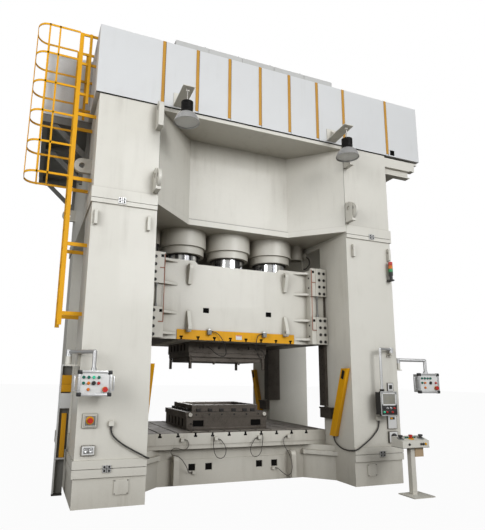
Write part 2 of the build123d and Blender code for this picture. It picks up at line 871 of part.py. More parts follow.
def make_right_arm():
    return make_arm(right_arm_base, (3385, -half_depth - 6), 1882, 28)


def make_panel_arm():
    return make_arm(panel_arm_base, (2235, -half_depth - 175), 1567, 22)


def make_pendant(x0, x1, front, low, high, depth, axis_x):
    back = front + depth
    pieces = []
    pieces.append(box(x0 + 14, x1 - 14, front + 8, back, low + 14, high - 14))
    frame = box(x0, x1, front, front + 40, low, high)
    frame -= box(x0 + 30, x1 - 30, front - 5, front + 8, low + 30, high - 30)
    pieces.append(frame)
    pieces.append(rod((axis_x, front + depth / 2, high - 20), (axis_x, front + depth / 2, high + 37), 38))
    return fuse(pieces)


def small_buttons(places, front, radius, height):
    return [prism((x, front, z), radius, height, (0, -1, 0), 10) for x, z in places]


def handle(wall, out, front, low, high):
    # A square bar grip standing out beside a box
    near = front + 60
    far = front + 78
    grip = box(wall - out * 14, wall + out * 42, near, far, low + 60, low + 78)
    grip += box(wall - out * 14, wall + out * 42, near, far, high - 78, high - 60)
    return grip + box(wall + out * 30, wall + out * 48, near, far, low + 60, high - 60)


left_box = (-2793.0, -2358.0, -half_depth - 350, 1461.0, 1785.0)


left_stop_place = (-2440.0, left_box[2] + 8, 1545.0)
pendant_stop_radius = 34.0
stem_share = 0.55


def make_left_pendant():
    x0, x1, front, low, high = left_box
    body = make_pendant(x0, x1, front, low, high, 145, -2590)
    body += handle(x0, -1, front, low, high)
    body += handle(x1, 1, front, low, high)
    places = [(-2720, 1700), (-2655, 1700), (-2590, 1700), (-2525, 1700), (-2720, 1625), (-2655, 1625),
              (-2525, 1625), (-2655, 1545)]
    body -= stem_hole(left_stop_place, 1, 0, pendant_stop_radius * stem_share)
    return fuse([body] + small_buttons(places, front + 8, 17, 20))


def make_left_knob():
    x = -2590.0
    y = left_box[2] + 8
    return rod((x, y - 14, 1625), (x, y, 1625), 27) + box(x - 7, x + 7, y - 34, y - 14, 1603, 1647)


def make_stop_button(place):
    # A mushroom head on a stem, pressed straight in
    x, y, z = place
    stem = rod((x, y - 24, z), (x, y + stem_reach, z), pendant_stop_radius * stem_share)
    return stem + rod((x, y - 44, z), (x, y - 24, z), pendant_stop_radius)


right_box = (3150.0, 3620.0, -half_depth - 78, 1500.0, 1845.0)
right_stop_place = (3540.0, right_box[2] + 8, 1590.0)


def make_right_pendant():
    x0, x1, front, low, high = right_box
    body = make_pendant(x0, x1, front, low, high, 145, 3385)
    body += handle(x0, -1, front, low, high)
    body += handle(x1, 1, front, low, high)
    places = [(3225, 1760), (3290, 1760), (3355, 1760), (3420, 1760), (3225, 1680), (3290, 1680),
              (3540, 1680), (3290, 1595)]
    body -= stem_hole(right_stop_place, 1, 0, pendant_stop_radius * stem_share)
    return fuse([body] + small_buttons(places, front + 8, 17, 20))


def make_right_knob():
    x = 3420.0
    y = right_box[2] + 8
    return rod((x, y - 14, 1680), (x, y, 1680), 27) + box(x - 7, x + 7, y - 34, y - 14, 1658, 1702)


def make_panel_box():
    x0, x1, front, low, high = 2138.0, 2478.0, -half_depth - 250, 1135.0, 1530.0
    body = make_pendant(x0, x1, front, low, high, 150, 2235)
    body += handle(x1, 1, front, low, high)
    places = [(2200, 1195), (2255, 1195), (2310, 1195), (2365, 1195), (2420, 1195)]
    return fuse([body] + small_buttons(places, front + 8, 14, 18))


console_x = 2282.0
console_button_y = -half_depth - 720
console_button_z = 825.0
console_stem_share = 0.6
console_buttons = ((console_x - 200, 34.0), (console_x + 200, 34.0), (console_x, 30.0))


def make_console():
    pieces = []
    y = console_button_y
    pieces.append(box(console_x - 200, console_x + 200, y - 225, y + 115, 0, 16))
    pieces.append(box(console_x - 42, console_x + 42, y - 30, y + 50, 16, 702))
    outline = [(y - 90, 700), (y + 160, 700), (y + 160, 850), (y + 90, 850), (y - 90, 800)]
    pieces.append(side_plate(outline, 2041, 2564))
    pieces.append(box(console_x + 40, console_x + 200, y - 40, y + 90, 560, 700))
    for x in (2190, 2230, 2334, 2374):
        pieces.append(rod((x, y + 10, 800), (x, y + 10, 850), 13))
    console = fuse(pieces)
    for x, radius in console_buttons:
        console -= stem_hole((x, console_button_y, console_button_z), 0, 1, radius * console_stem_share)
    return console


def console_top(button, height):
    x, radius = button
    y = console_button_y
    z = console_button_z
    stem = rod((x, y, z - stem_reach), (x, y, z + height * 0.55), radius * console_stem_share)
    return stem + rod((x, y, z + height * 0.55), (x, y, z + height), radius)


# Cables, each named by what it joins
out_y = -half_depth - 40
outlet_y = -half_depth - 23
socket_y = deep(bolster_front) - 26
slot_plug_face = deep(bolster_front) + 8
die_plug_y = deep(1265) - 18
plug_y = deep(bed_front) - 20
band_y = -(half_depth - slide_front) - 46
hose_x = return_x + 222
hose_z = hose_level


def make_left_curtain_cable():
    run_x = -(inner_half - 35)
    points = [(-2276, outlet_y, 1050), (-2276, outlet_y, 965), (-2215, out_y, 885), (-2110, out_y, 805),
              (-2000, out_y, 742), (-1880, out_y, 680), (-1778, out_y - 30, 625),
              (run_x + 8, out_y + 40, 600),
              (run_x, deep(140), 586), (run_x, deep(290), 590), (run_x, deep(420), 618),
              (run_x, deep(520), 670),
              (run_x, deep(520), 745)]
    return cord(points, 22)


def make_right_curtain_cable():
    run_x = inner_half - 35
    points = [(2261, outlet_y, 1040), (2261, outlet_y, 955), (2200, out_y, 872), (2105, out_y, 784),
              (1990, out_y, 700), (1875, out_y, 635), (1778, out_y - 30, 590), (run_x - 8, out_y + 40, 566),
              (run_x, deep(140), 552), (run_x, deep(290), 560), (run_x, deep(420), 600),
              (run_x, deep(520), 668),
              (run_x, deep(520), 745)]
    return cord(points, 22)


def make_bed_left_cable():
    near = socket_y - 6
    out = socket_y - 32
    points = [(-957, socket_y, 726), (-915, socket_y, 726), (-880, near, 690), (-872, near, 640),
              (-895, near, 592),
              (-945, near, 570), (-1000, near, 578), (-1055, near, 600), (-1110, near, 604),
              (-1158, near - 6, 582),
              (-1178, near - 12, 540), (-1152, near - 20, 504), (-1100, out, 490), (-1045, out, 474),
              (-1000, out, 438), (-962, out, 392), (-926, out + 6, 342), (-890, out + 28, 290),
              (-855, plug_y - 60, 236), (-812, plug_y, 193), (-760, plug_y, 193)]
    return cord(points, 11)


def make_bed_right_cable():
    near = socket_y - 6
    out = socket_y - 32
    points = [(944, socket_y, 726), (902, socket_y, 726), (874, near, 682), (868, near, 630),
              (880, near, 578),
              (905, near - 10, 530), (935, out, 478), (965, out, 425), (990, out, 370), (1008, out, 315),
              (1018, out, 255), (1018, out, 195), (1004, out, 135), (970, out, 95), (922, out, 82),
              (878, out + 20, 105), (846, plug_y - 60, 148), (812, plug_y, 193), (760, plug_y, 193)]
    return cord(points, 11)


def make_slot_loop(side):
    # Out of a slot end, down in a loop and up into the socket beside it
    near = socket_y - 20
    points = [(450, slot_plug_face, 772), (450, slot_plug_face - 40, 772), (450, near - 18, 745),
              (451, near - 14, 695), (450, near, 640), (444, near, 585), (436, near, 530), (416, near, 478),
              (378, near, 432), (322, near, 412), (266, near, 430), (232, near, 478), (222, near, 535),
              (234, near, 592), (264, near, 642), (300, socket_y - 10, 690), (334, socket_y, 716),
              (372, socket_y, 716)]
    return cord([(side * x, y, z) for x, y, z in points], 11)


def make_die_cable(side):
    # From a plug on the die front down onto the bolster
    front = deep(1270)
    x = side * 690
    points = [(x, front, 930), (x, front - 42, 930), (x - side * 4, front - 84, 912),
              (x - side * 8, front - 112, 868), (x - side * 8, front - 112, bolster_top)]
    return cord(points, 12)


def make_slide_left_cable():
    y = band_y
    points = [(-528, y, 2490), (-460, y, 2490), (-395, y - 20, 2452), (-335, y - 30, 2380),
              (-285, y - 20, 2290),
              (-240, y + 12, 2200), (-210, y + 72, 2130), (-206, y + 148, 2088), (-238, y + 218, 2084),
              (-284, y + 280, 2114), (-330, y + 340, 2160), (-360, y + 402, 2212), (-396, die_plug_y, 2256),
              (-450, die_plug_y, 2256)]
    return cord(points, 14)


def make_slide_right_cable():
    y = band_y
    points = [(468, y, 2490), (405, y, 2490), (352, y - 20, 2440), (326, y - 30, 2362), (324, y - 20, 2278),
              (346, y + 14, 2198), (396, y + 68, 2130), (466, y + 134, 2092), (544, y + 196, 2080),
              (616, y + 262, 2096), (660, y + 326, 2142), (664, y + 376, 2200), (620, y + 416, 2244),
              (560, y + 442, 2262), (504, die_plug_y, 2262), (450, die_plug_y, 2262)]
    return cord(points, 14)


def make_return_hose():
    y = -row_offset
    points = [(hose_x, y, hose_z), (hose_x + 66, y, hose_z), (hose_x + 122, y + 2, hose_z - 42),
              (hose_x + 140, y, hose_z - 108), (hose_x + 118, y + 2, hose_z - 174),
              (hose_x + 70, y, hose_z - 226),
              (hose_x + 24, y, 3925), (return_x + 192, y, 3925)]
    return cord(points, 24)


# Write every piece
nodes = {
    "bed": make_bed(),
    "left_upright": make_upright(-1),
    "right_upright": make_upright(1),
    "crown": make_crown(),
    "joint_keys": make_keys(),
    "tie_rod_nuts": make_tie_nuts(),
    "guide_rails": make_rails(),
    "bolster": make_bolster(),
    "lower_die": make_lower_die(),
    "main_cylinders": make_main_cylinders(),
    "return_cylinders": make_return_cylinders(),
    "platform": make_platform(),
    "cladding_panels": make_cladding(),
    "cladding_strips": make_strips(),
    "oil_tank": make_tank(),
    "side_wing": make_wing(),
    "wing_frame": make_wing_frame(),
    "ladder": make_ladder(),
    "ladder_cage": make_cage(),
    "lamp_brackets": make_lamp_brackets(),
    "left_lamp": make_lamp(lamp_places[0]),
    "right_lamp": make_lamp(lamp_places[1]),
    "signal_tower": make_signal_tower(),
    "light_curtains": make_curtains(),
    "wall_boxes": make_wall_boxes(),
    "wall_stop_button": make_wall_stop(),
    "main_switch_knob": make_switch_knob(),
    "slide": make_slide(),
    "slide_band": make_slide_band(),
    "guide_shoes": make_shoes(),
    "shoe_bolts": make_shoe_bolts(),
    "grease_pipes": make_pipes(),
    "upper_die": make_upper_die(),
    "main_rams": make_rams(),
    "return_rods": make_return_rods(),
    "arm_bases": make_arm_bases(),
    "left_arm": make_left_arm(),
    "left_pendant": make_left_pendant(),
    "left_pendant_knob": make_left_knob(),
    "left_pendant_stop": make_stop_button(left_stop_place),
    "right_arm": make_right_arm(),
    "right_pendant": make_right_pendant(),
    "right_pendant_knob": make_right_knob(),
    "right_pendant_stop": make_stop_button(right_stop_place),
    "panel_arm": make_panel_arm(),
    "panel_box": make_panel_box(),
    "console_stand": make_console(),
    "left_palm_button": console_top(console_buttons[0], 60),
    "right_palm_button": console_top(console_buttons[1], 60),
    "console_stop": console_top(console_buttons[2], 60),
    "left_curtain_cable": make_left_curtain_cable(),
    "right_curtain_cable": make_right_curtain_cable(),
    "bed_left_cable": make_bed_left_cable(),
    "bed_right_cable": make_bed_right_cable(),
    "left_slot_cable": make_slot_loop(-1),
    "right_slot_cable": make_slot_loop(1),
    "left_die_cable": make_die_cable(-1),
    "slide_left_cable": make_slide_left_cable(),
    "slide_right_cable": make_slide_right_cable(),
    "return_hose": make_return_hose(),
}

os.makedirs("parts", exist_ok=True)
for name, shape in nodes.items():
    export_step(shape, f"parts/{name}.step")
print(len(nodes), "pieces written")
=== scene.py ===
import json
import math

import bmesh
import bpy
from mathutils import Matrix, Vector


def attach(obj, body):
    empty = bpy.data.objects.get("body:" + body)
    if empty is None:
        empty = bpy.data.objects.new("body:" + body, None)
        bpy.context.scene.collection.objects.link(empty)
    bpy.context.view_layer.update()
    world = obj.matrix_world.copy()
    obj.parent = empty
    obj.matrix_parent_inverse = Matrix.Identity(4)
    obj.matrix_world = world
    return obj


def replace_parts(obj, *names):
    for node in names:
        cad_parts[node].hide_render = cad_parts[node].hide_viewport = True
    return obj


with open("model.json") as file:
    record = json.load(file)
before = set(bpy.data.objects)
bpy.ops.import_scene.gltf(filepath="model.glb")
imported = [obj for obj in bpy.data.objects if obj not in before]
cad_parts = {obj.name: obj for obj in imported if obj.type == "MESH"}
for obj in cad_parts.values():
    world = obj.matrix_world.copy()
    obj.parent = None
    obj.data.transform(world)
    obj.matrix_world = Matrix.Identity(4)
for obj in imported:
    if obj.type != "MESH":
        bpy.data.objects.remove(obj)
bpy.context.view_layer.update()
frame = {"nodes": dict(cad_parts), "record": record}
nodes = frame["nodes"]
print("press frame loaded:", len(nodes), "CAD pieces")

# Planes and pitches that several pieces share, in millimetres
frontFace = -1930.0
recessFace = -1152.0
slideFace = -1088.0
shoeFace = -1285.0
slotPitch = 300
bolsterSlots = 10
slideSlots = 8
stripPlaces = [-1752.0 + 590.7 * index for index in range(7)] + [2804.0]
sides = (-1, 1)
corners = [(side, end) for side in sides for end in sides]


# Node helpers: each but addNode gives back the socket that carries its result

def addNode(tree, kind, values):
    node = tree.nodes.new(kind)
    for label, value in values.items():
        node.inputs[label].default_value = value
    return node


def noiseSocket(tree, stretch, scale, detail=4.0, roughness=0.55):
    place = tree.nodes.new("ShaderNodeTexCoord")
    mapping = addNode(tree, "ShaderNodeMapping", {"Scale": stretch})
    noise = addNode(tree, "ShaderNodeTexNoise", {"Scale": scale, "Detail": detail, "Roughness": roughness})
    tree.links.new(place.outputs["Object"], mapping.inputs["Vector"])
    tree.links.new(mapping.outputs["Vector"], noise.inputs["Vector"])
    return noise.outputs["Fac"]


def rangeSocket(tree, source, low, high, outLow=0.0, outHigh=1.0):
    limits = {"From Min": low, "From Max": high, "To Min": outLow, "To Max": outHigh}
    node = addNode(tree, "ShaderNodeMapRange", limits)
    tree.links.new(source, node.inputs["Value"])
    return node.outputs[0]


def mathSocket(tree, operation, first, second):
    node = tree.nodes.new("ShaderNodeMath")
    node.operation = operation
    for socket, value in zip(node.inputs, (first, second)):
        if isinstance(value, (int, float)):
            socket.default_value = value
        else:
            tree.links.new(value, socket)
    return node.outputs[0]


def mixColour(tree, amount, first, second):
    node = tree.nodes.new("ShaderNodeMix")
    node.data_type = "RGBA"
    tree.links.new(amount, node.inputs[0])
    tree.links.new(first, node.inputs[6])
    tree.links.new(second, node.inputs[7])
    return node.outputs[2]


# Surface effects that the finishes share

effectSockets = (("INPUT", "Clean", "Color"), ("INPUT", "WearAndPaintedLight", "Color"), ("INPUT", "Amount", "Float"),
                 ("INPUT", "Roughness", "Float"), ("OUTPUT", "Colour", "Color"),
                 ("OUTPUT", "Roughness", "Float"), ("OUTPUT", "Height", "Float"))


def startGroup(name):
    tree = bpy.data.node_groups.new(name, "ShaderNodeTree")
    for way, label, kind in effectSockets:
        tree.interface.new_socket(name=label, in_out=way, socket_type="NodeSocket" + kind)
    return tree, tree.nodes.new("NodeGroupInput"), tree.nodes.new("NodeGroupOutput")


def endGroup(tree, source, result, colour, addedRoughness, height):
    rough = mathSocket(tree, "ADD", addedRoughness, source.outputs["Roughness"])
    tree.links.new(colour, result.inputs["Colour"])
    tree.links.new(rough, result.inputs["Roughness"])
    tree.links.new(height, result.inputs["Height"])
    return tree


# haze and specks set the dust; the ambient-occlusion reach and darkness set the painted shade in corners and
# recesses; roughening is added roughness
grimeAndShade = dict(haze=0.28, specks=0.22, cornerShadeReach=1.6, cornerShadeDarkness=0.62, roughening=0.35)


def buildGrimeAndCornerShade():
    # Cloudy dust and runs down the walls over sprayed paint, plus painted shade: an ambient-occlusion mask
    # darkens corners and hollows toward the worn colour
    tree, source, result = startGroup("grimeAndCornerShade")
    clouds = rangeSocket(tree, noiseSocket(tree, (1, 1, 1), 1.3, 6), 0.42, 0.72)
    runs = rangeSocket(tree, noiseSocket(tree, (1, 1, 0.09), 9.0, 5), 0.5, 0.78)
    specks = rangeSocket(tree, noiseSocket(tree, (1, 1, 1), 55.0, 3), 0.66, 0.74)
    orangePeel = noiseSocket(tree, (1, 1, 1), 260.0, 2)
    streaks = mathSocket(tree, "MULTIPLY", clouds, runs)
    total = mathSocket(tree, "ADD", streaks, mathSocket(tree, "MULTIPLY", clouds, grimeAndShade["haze"]))
    total = mathSocket(tree, "ADD", total, mathSocket(tree, "MULTIPLY", specks, grimeAndShade["specks"]))
    total = mathSocket(tree, "MULTIPLY", total, source.outputs["Amount"])
    # Painted shade: ambient occlusion darkens corners, recesses and faces close to other parts
    cornerShadeAO = addNode(tree, "ShaderNodeAmbientOcclusion", {"Distance": grimeAndShade["cornerShadeReach"]})
    cornerShadeAO.samples = 8
    cornerShade = rangeSocket(tree, cornerShadeAO.outputs["AO"], 0.92, 0.25, 0.0, grimeAndShade["cornerShadeDarkness"])
    total = mathSocket(tree, "ADD", total, cornerShade)
    total.node.use_clamp = True
    colour = mixColour(tree, total, source.outputs["Clean"], source.outputs["WearAndPaintedLight"])
    added = mathSocket(tree, "MULTIPLY", total, grimeAndShade["roughening"])
    return endGroup(tree, source, result, colour, added, orangePeel)


def buildMillMarks():
    # Cutter lines, oil stains and rubbed bright places of machined steel
    tree, source, result = startGroup("millMarks")
    lines = noiseSocket(tree, (0.5, 26, 26), 6.0, 3)
    stains = rangeSocket(tree, noiseSocket(tree, (1, 1, 1), 5.0, 7, 0.65), 0.4, 0.66)
    fine = rangeSocket(tree, noiseSocket(tree, (1, 1, 1), 38.0, 4), 0.35, 0.75)
    mask = mathSocket(tree, "MULTIPLY", stains, fine)
    mask = mathSocket(tree, "MULTIPLY", mask, source.outputs["Amount"])
    mask.node.use_clamp = True
    colour = mixColour(tree, mask, source.outputs["Clean"], source.outputs["WearAndPaintedLight"])
    shaded = tree.nodes.new("ShaderNodeVectorMath")
    shaded.operation = "SCALE"
    tree.links.new(colour, shaded.inputs[0])
    tree.links.new(rangeSocket(tree, lines, 0.3, 0.7, 0.88, 1.06), shaded.inputs["Scale"])
    return endGroup(tree, source, result, shaded.outputs[0], mathSocket(tree, "MULTIPLY", mask, 0.4), lines)


def buildPaintedRodReflections():
    # Painted reflection: light and dark upright bands, as on a polished rod reflecting a workshop
    tree, source, result = startGroup("paintedRodReflections")
    # Painted reflection bands, stretched upright
    reflectionBands = rangeSocket(tree, noiseSocket(tree, (1, 1, 0.015), 9.0, 2, 0.4), 0.47, 0.56)
    haze = noiseSocket(tree, (1, 1, 1), 24.0, 5)
    mask = mathSocket(tree, "MULTIPLY", reflectionBands, source.outputs["Amount"])
    colour = mixColour(tree, mask, source.outputs["Clean"], source.outputs["WearAndPaintedLight"])
    return endGroup(tree, source, result, colour, rangeSocket(tree, haze, 0.3, 0.8, 0.0, 0.12), haze)


grimeAndCornerShade = buildGrimeAndCornerShade()
millMarks = buildMillMarks()
paintedRodReflections = buildPaintedRodReflections()
print("surface effects built")


def newMaterial(name, metal=0.0, coat=0.0, gloss=0.5):
    material = bpy.data.materials.new(name)
    material.use_nodes = True
    shader = material.node_tree.nodes["Principled BSDF"]
    for label, value in (("Metallic", metal), ("Coat Weight", coat), ("Specular IOR Level", gloss)):
        shader.inputs[label].default_value = value
    return material, shader


def addEffect(tree, group, clean, worn, amount, roughness):
    effect = tree.nodes.new("ShaderNodeGroup")
    effect.node_tree = group
    for socket, value in zip(effect.inputs, ((*clean, 1), (*worn, 1), amount, roughness)):
        socket.default_value = value
    return effect


def wearFinish(name, group, clean, worn, amount, roughness, extras=None):
    looks = {"metal": 0.0, "coat": 0.0, "gloss": 0.5, "bump": 0.02, **(extras or {})}
    material, shader = newMaterial(name, looks["metal"], looks["coat"], looks["gloss"])
    tree = material.node_tree
    effect = addEffect(tree, group, clean, worn, amount, roughness)
    relief = addNode(tree, "ShaderNodeBump", {"Strength": looks["bump"], "Distance": 0.002})
    tree.links.new(effect.outputs["Colour"], shader.inputs["Base Color"])
    tree.links.new(effect.outputs["Roughness"], shader.inputs["Roughness"])
    tree.links.new(effect.outputs["Height"], relief.inputs["Height"])
    tree.links.new(relief.outputs["Normal"], shader.inputs["Normal"])
    return material


# Each finish: effect, clean and worn colour, amount of wear, roughness, and what else it needs. With the
# grime effect the worn colour is also the colour of painted shade in corners; with the rod effect the clean
# and worn colours and the amount make painted reflection bands.
grimeAndShadeBrown = (0.20, 0.17, 0.12)
finishes = {
    "cream": (grimeAndCornerShade, (0.80, 0.79, 0.73), grimeAndShadeBrown, 0.20, 0.42, dict(coat=0.1)),
    "yellow": (grimeAndCornerShade, (0.90, 0.44, 0.004), (0.28, 0.14, 0.02), 0.45, 0.45, dict(gloss=0.25)),
    "steel": (millMarks, (0.24, 0.22, 0.195), (0.07, 0.05, 0.035), 0.85, 0.42, dict(metal=0.6)),
    "dark_steel": (millMarks, (0.11, 0.095, 0.08), (0.028, 0.02, 0.015), 0.8, 0.42, dict(metal=0.5)),
    # Painted reflection: the chrome colour swings between the bright and the dark band colour
    "chrome": (paintedRodReflections, (0.86, 0.87, 0.88), (0.05, 0.05, 0.055), 0.93, 0.12,
               dict(metal=0.9, bump=0.004)),
    "black_metal": (grimeAndCornerShade, (0.012, 0.012, 0.013), (0.05, 0.045, 0.04), 0.5, 0.4, dict(gloss=0.3)),
    "grey_metal": (grimeAndCornerShade, (0.27, 0.28, 0.28), (0.10, 0.09, 0.07), 0.5, 0.5),
    "copper": (millMarks, (0.36, 0.13, 0.08), (0.10, 0.035, 0.02), 0.7, 0.4, dict(metal=0.8)),
    "aluminium": (millMarks, (0.72, 0.73, 0.74), (0.42, 0.42, 0.42), 0.3, 0.34, dict(metal=0.7)),
    "black_plastic": (grimeAndCornerShade, (0.02, 0.02, 0.022), (0.08, 0.075, 0.07), 0.3, 0.45),
    "cream_plastic": (grimeAndCornerShade, (0.78, 0.74, 0.62), grimeAndShadeBrown, 0.3, 0.45),
    "red_plastic": (grimeAndCornerShade, (0.62, 0.02, 0.014), (0.16, 0.02, 0.01), 0.3, 0.28, dict(coat=0.4)),
    "green_plastic": (grimeAndCornerShade, (0.02, 0.34, 0.10), (0.02, 0.08, 0.03), 0.3, 0.28, dict(coat=0.4)),
    "orange_plastic": (grimeAndCornerShade, (0.85, 0.22, 0.01), (0.2, 0.06, 0.01), 0.3, 0.28, dict(coat=0.4)),
    "black_rubber": (grimeAndCornerShade, (0.022, 0.022, 0.024), (0.09, 0.08, 0.07), 0.5, 0.6, dict(bump=0.08)),
    "panel_white": (grimeAndCornerShade, (0.82, 0.83, 0.83), (0.4, 0.4, 0.4), 0.2, 0.35, dict(coat=0.2)),
    "screen_glass": (grimeAndCornerShade, (0.34, 0.33, 0.28), (0.16, 0.17, 0.16), 0.8, 0.15, dict(coat=0.8)),
    # Painted shade: near-black matt colour for linings in holes and gaps
    "paintedShade": (grimeAndCornerShade, (0.003, 0.003, 0.003), (0.012, 0.011, 0.01), 0.3, 0.9, dict(gloss=0.1)),
    "seamAndShade": (grimeAndCornerShade, (0.16, 0.155, 0.14), (0.07, 0.06, 0.05), 0.5, 0.8),
    "rubbed": (millMarks, (0.66, 0.65, 0.62), (0.25, 0.22, 0.18), 0.5, 0.3, dict(metal=0.8)),
    "lamp_glass": (grimeAndCornerShade, (0.36, 0.36, 0.36), (0.62, 0.62, 0.62), 0.8, 0.2, dict(coat=0.6)),
    "cladding": (grimeAndCornerShade, (0.77, 0.79, 0.81), (0.42, 0.41, 0.38), 0.16, 0.4, dict(coat=0.1)),
    "tank": (grimeAndCornerShade, (0.62, 0.63, 0.63), (0.36, 0.35, 0.32), 0.3, 0.45),
    "ochre": (grimeAndCornerShade, (0.62, 0.31, 0.02), (0.16, 0.08, 0.02), 0.6, 0.5),
    "teal_plastic": (grimeAndCornerShade, (0.01, 0.16, 0.11), (0.02, 0.06, 0.04), 0.2, 0.25, dict(coat=0.5)),
    "lit_green": (grimeAndCornerShade, (0.05, 0.75, 0.42), (0.05, 0.4, 0.25), 0.2, 0.25, dict(coat=0.5)),
    "tan": (grimeAndCornerShade, (0.55, 0.42, 0.28), (0.3, 0.2, 0.1), 0.4, 0.5),
}
paint = {name: wearFinish(name + "Finish", *facts) for name, facts in finishes.items()}

bolsterLook = dict(edge=(0.78, 0.77, 0.71), top=(0.21, 0.185, 0.16), oil=(0.06, 0.045, 0.033),
                   paintedPast=1.7445)


def pastEitherWay(tree, source, limit):
    return mathSocket(tree, "GREATER_THAN", mathSocket(tree, "ABSOLUTE", source, 0.0), limit)


def makeBolsterFinish():
    # Painted edges and ends round a bare, oiled working face
    material, shader = newMaterial("bolsterTwoTone")
    tree = material.node_tree
    edge = addEffect(tree, grimeAndCornerShade, bolsterLook["edge"], grimeAndShadeBrown, 0.35, 0.45)
    top = addEffect(tree, millMarks, bolsterLook["top"], bolsterLook["oil"], 0.85, 0.62)
    normal = tree.nodes.new("ShaderNodeSeparateXYZ")
    tree.links.new(tree.nodes.new("ShaderNodeNewGeometry").outputs["Normal"], normal.inputs[0])
    place = tree.nodes.new("ShaderNodeSeparateXYZ")
    tree.links.new(tree.nodes.new("ShaderNodeTexCoord").outputs["Object"], place.inputs[0])
    facing = pastEitherWay(tree, normal.outputs["Y"], 0.5)
    atEnd = pastEitherWay(tree, place.outputs["X"], bolsterLook["paintedPast"])
    painted = mathSocket(tree, "MAXIMUM", facing, atEnd)
    colour = mixColour(tree, painted, top.outputs["Colour"], edge.outputs["Colour"])
    tree.links.new(colour, shader.inputs["Base Color"])
    rough = tree.nodes.new("ShaderNodeMix")
    tree.links.new(painted, rough.inputs[0])
    tree.links.new(top.outputs["Roughness"], rough.inputs[2])
    tree.links.new(edge.outputs["Roughness"], rough.inputs[3])
    tree.links.new(rough.outputs[0], shader.inputs["Roughness"])
    return material


paint["bolster"] = makeBolsterFinish()
nodeFinish = {item["node"]: item["material_slot"] for item in frame["record"]["subparts"]}
nodeFinish.update({
    "lower_die": "dark_steel", "signal_tower": "black_plastic", "bolster": "bolster", "oil_tank": "tank",
    "cladding_panels": "cladding", "side_wing": "cladding", "cladding_strips": "ochre", "wall_boxes": "cream",
    "left_palm_button": "black_plastic", "right_palm_button": "black_plastic", "joint_keys": "aluminium",
    "left_arm": "aluminium", "right_arm": "aluminium", "panel_arm": "aluminium"})
for name, node in nodes.items():
    finish = paint[nodeFinish[name]]
    if node.material_slots:
        for materialSlot in node.material_slots:
            materialSlot.material = finish
    else:
        node.data.materials.append(finish)
print("finishes on the CAD pieces")


# Mesh helpers, sizes in millimetres

creaseAngle = math.radians(35)


def addBlock(mesh, low, high, bevel=2.0):
    corner = Vector([min(a, b) for a, b in zip(low, high)]) / 1000
    size = Vector([abs(b - a) for a, b in zip(low, high)]) / 1000
    made = bmesh.ops.create_cube(mesh, size=1.0)["verts"]
    for vert in made:
        vert.co = corner + Vector([(along + 0.5) * length for along, length in zip(vert.co, size)])
    edges = list({edge for vert in made for edge in vert.link_edges})
    offset = min(bevel / 1000, min(size) * 0.45)
    bmesh.ops.bevel(mesh, geom=edges, offset=offset, segments=2, affect="EDGES", profile=0.7)


def joinRings(mesh, first, second):
    for index in range(len(first)):
        after = (index + 1) % len(first)
        mesh.faces.new((first[index], first[after], second[after], second[index]))


def closeCone(mesh, tip, ring):
    for index in range(len(ring)):
        mesh.faces.new((tip, ring[index], ring[(index + 1) % len(ring)]))


def addTurned(mesh, base, direction, profile, segments=24):
    # A turned form: profile is (radius, distance along the axis)
    turn = Vector(direction).normalized().to_track_quat("Z", "Y").to_matrix().to_4x4()
    place = Matrix.Translation(Vector(base) / 1000) @ turn
    rings = []
    for radius, along in profile:
        ring = []
        for index in range(segments if radius > 0 else 1):
            angle = 2 * math.pi * index / segments
            spot = Vector((math.cos(angle) * radius, math.sin(angle) * radius, along)) / 1000
            ring.append(mesh.verts.new(place @ spot))
        rings.append(ring)
    for lower, upper in zip(rings, rings[1:]):
        if len(lower) > 1 and len(upper) > 1:
            joinRings(mesh, lower, upper)
        elif len(upper) > 1:
            closeCone(mesh, lower[0], upper)
        elif len(lower) > 1:
            closeCone(mesh, upper[0], lower)


def addPrism(mesh, outline, push):
    # A flat outline and its copy pushed straight along, closed all round
    near = [mesh.verts.new(spot / 1000) for spot in outline]
    far = [mesh.verts.new((spot + push) / 1000) for spot in outline]
    mesh.faces.new(near)
    mesh.faces.new(far)
    joinRings(mesh, near, far)


def finishPiece(name, mesh, finish, body="frame"):
    bmesh.ops.recalc_face_normals(mesh, faces=mesh.faces)
    data = bpy.data.meshes.new(name)
    mesh.to_mesh(data)
    mesh.free()
    piece = bpy.data.objects.new(name, data)
    bpy.context.scene.collection.objects.link(piece)
    data.materials.append(paint[finish])
    for face in data.polygons:
        face.use_smooth = True
    data.set_sharp_from_angle(angle=creaseAngle)
    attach(piece, body)
    return piece


def blockPiece(name, blocks, finish, bevel=2.0, body="frame"):
    mesh = bmesh.new()
    for low, high in blocks:
        addBlock(mesh, low, high, bevel)
    return finishPiece(name, mesh, finish, body)


def turnedPiece(name, places, direction, profile, finish, segments=24, body="frame"):
    mesh = bmesh.new()
    for place in places:
        addTurned(mesh, place, direction, profile, segments)
    return finishPiece(name, mesh, finish, body)


# Cables, in metres

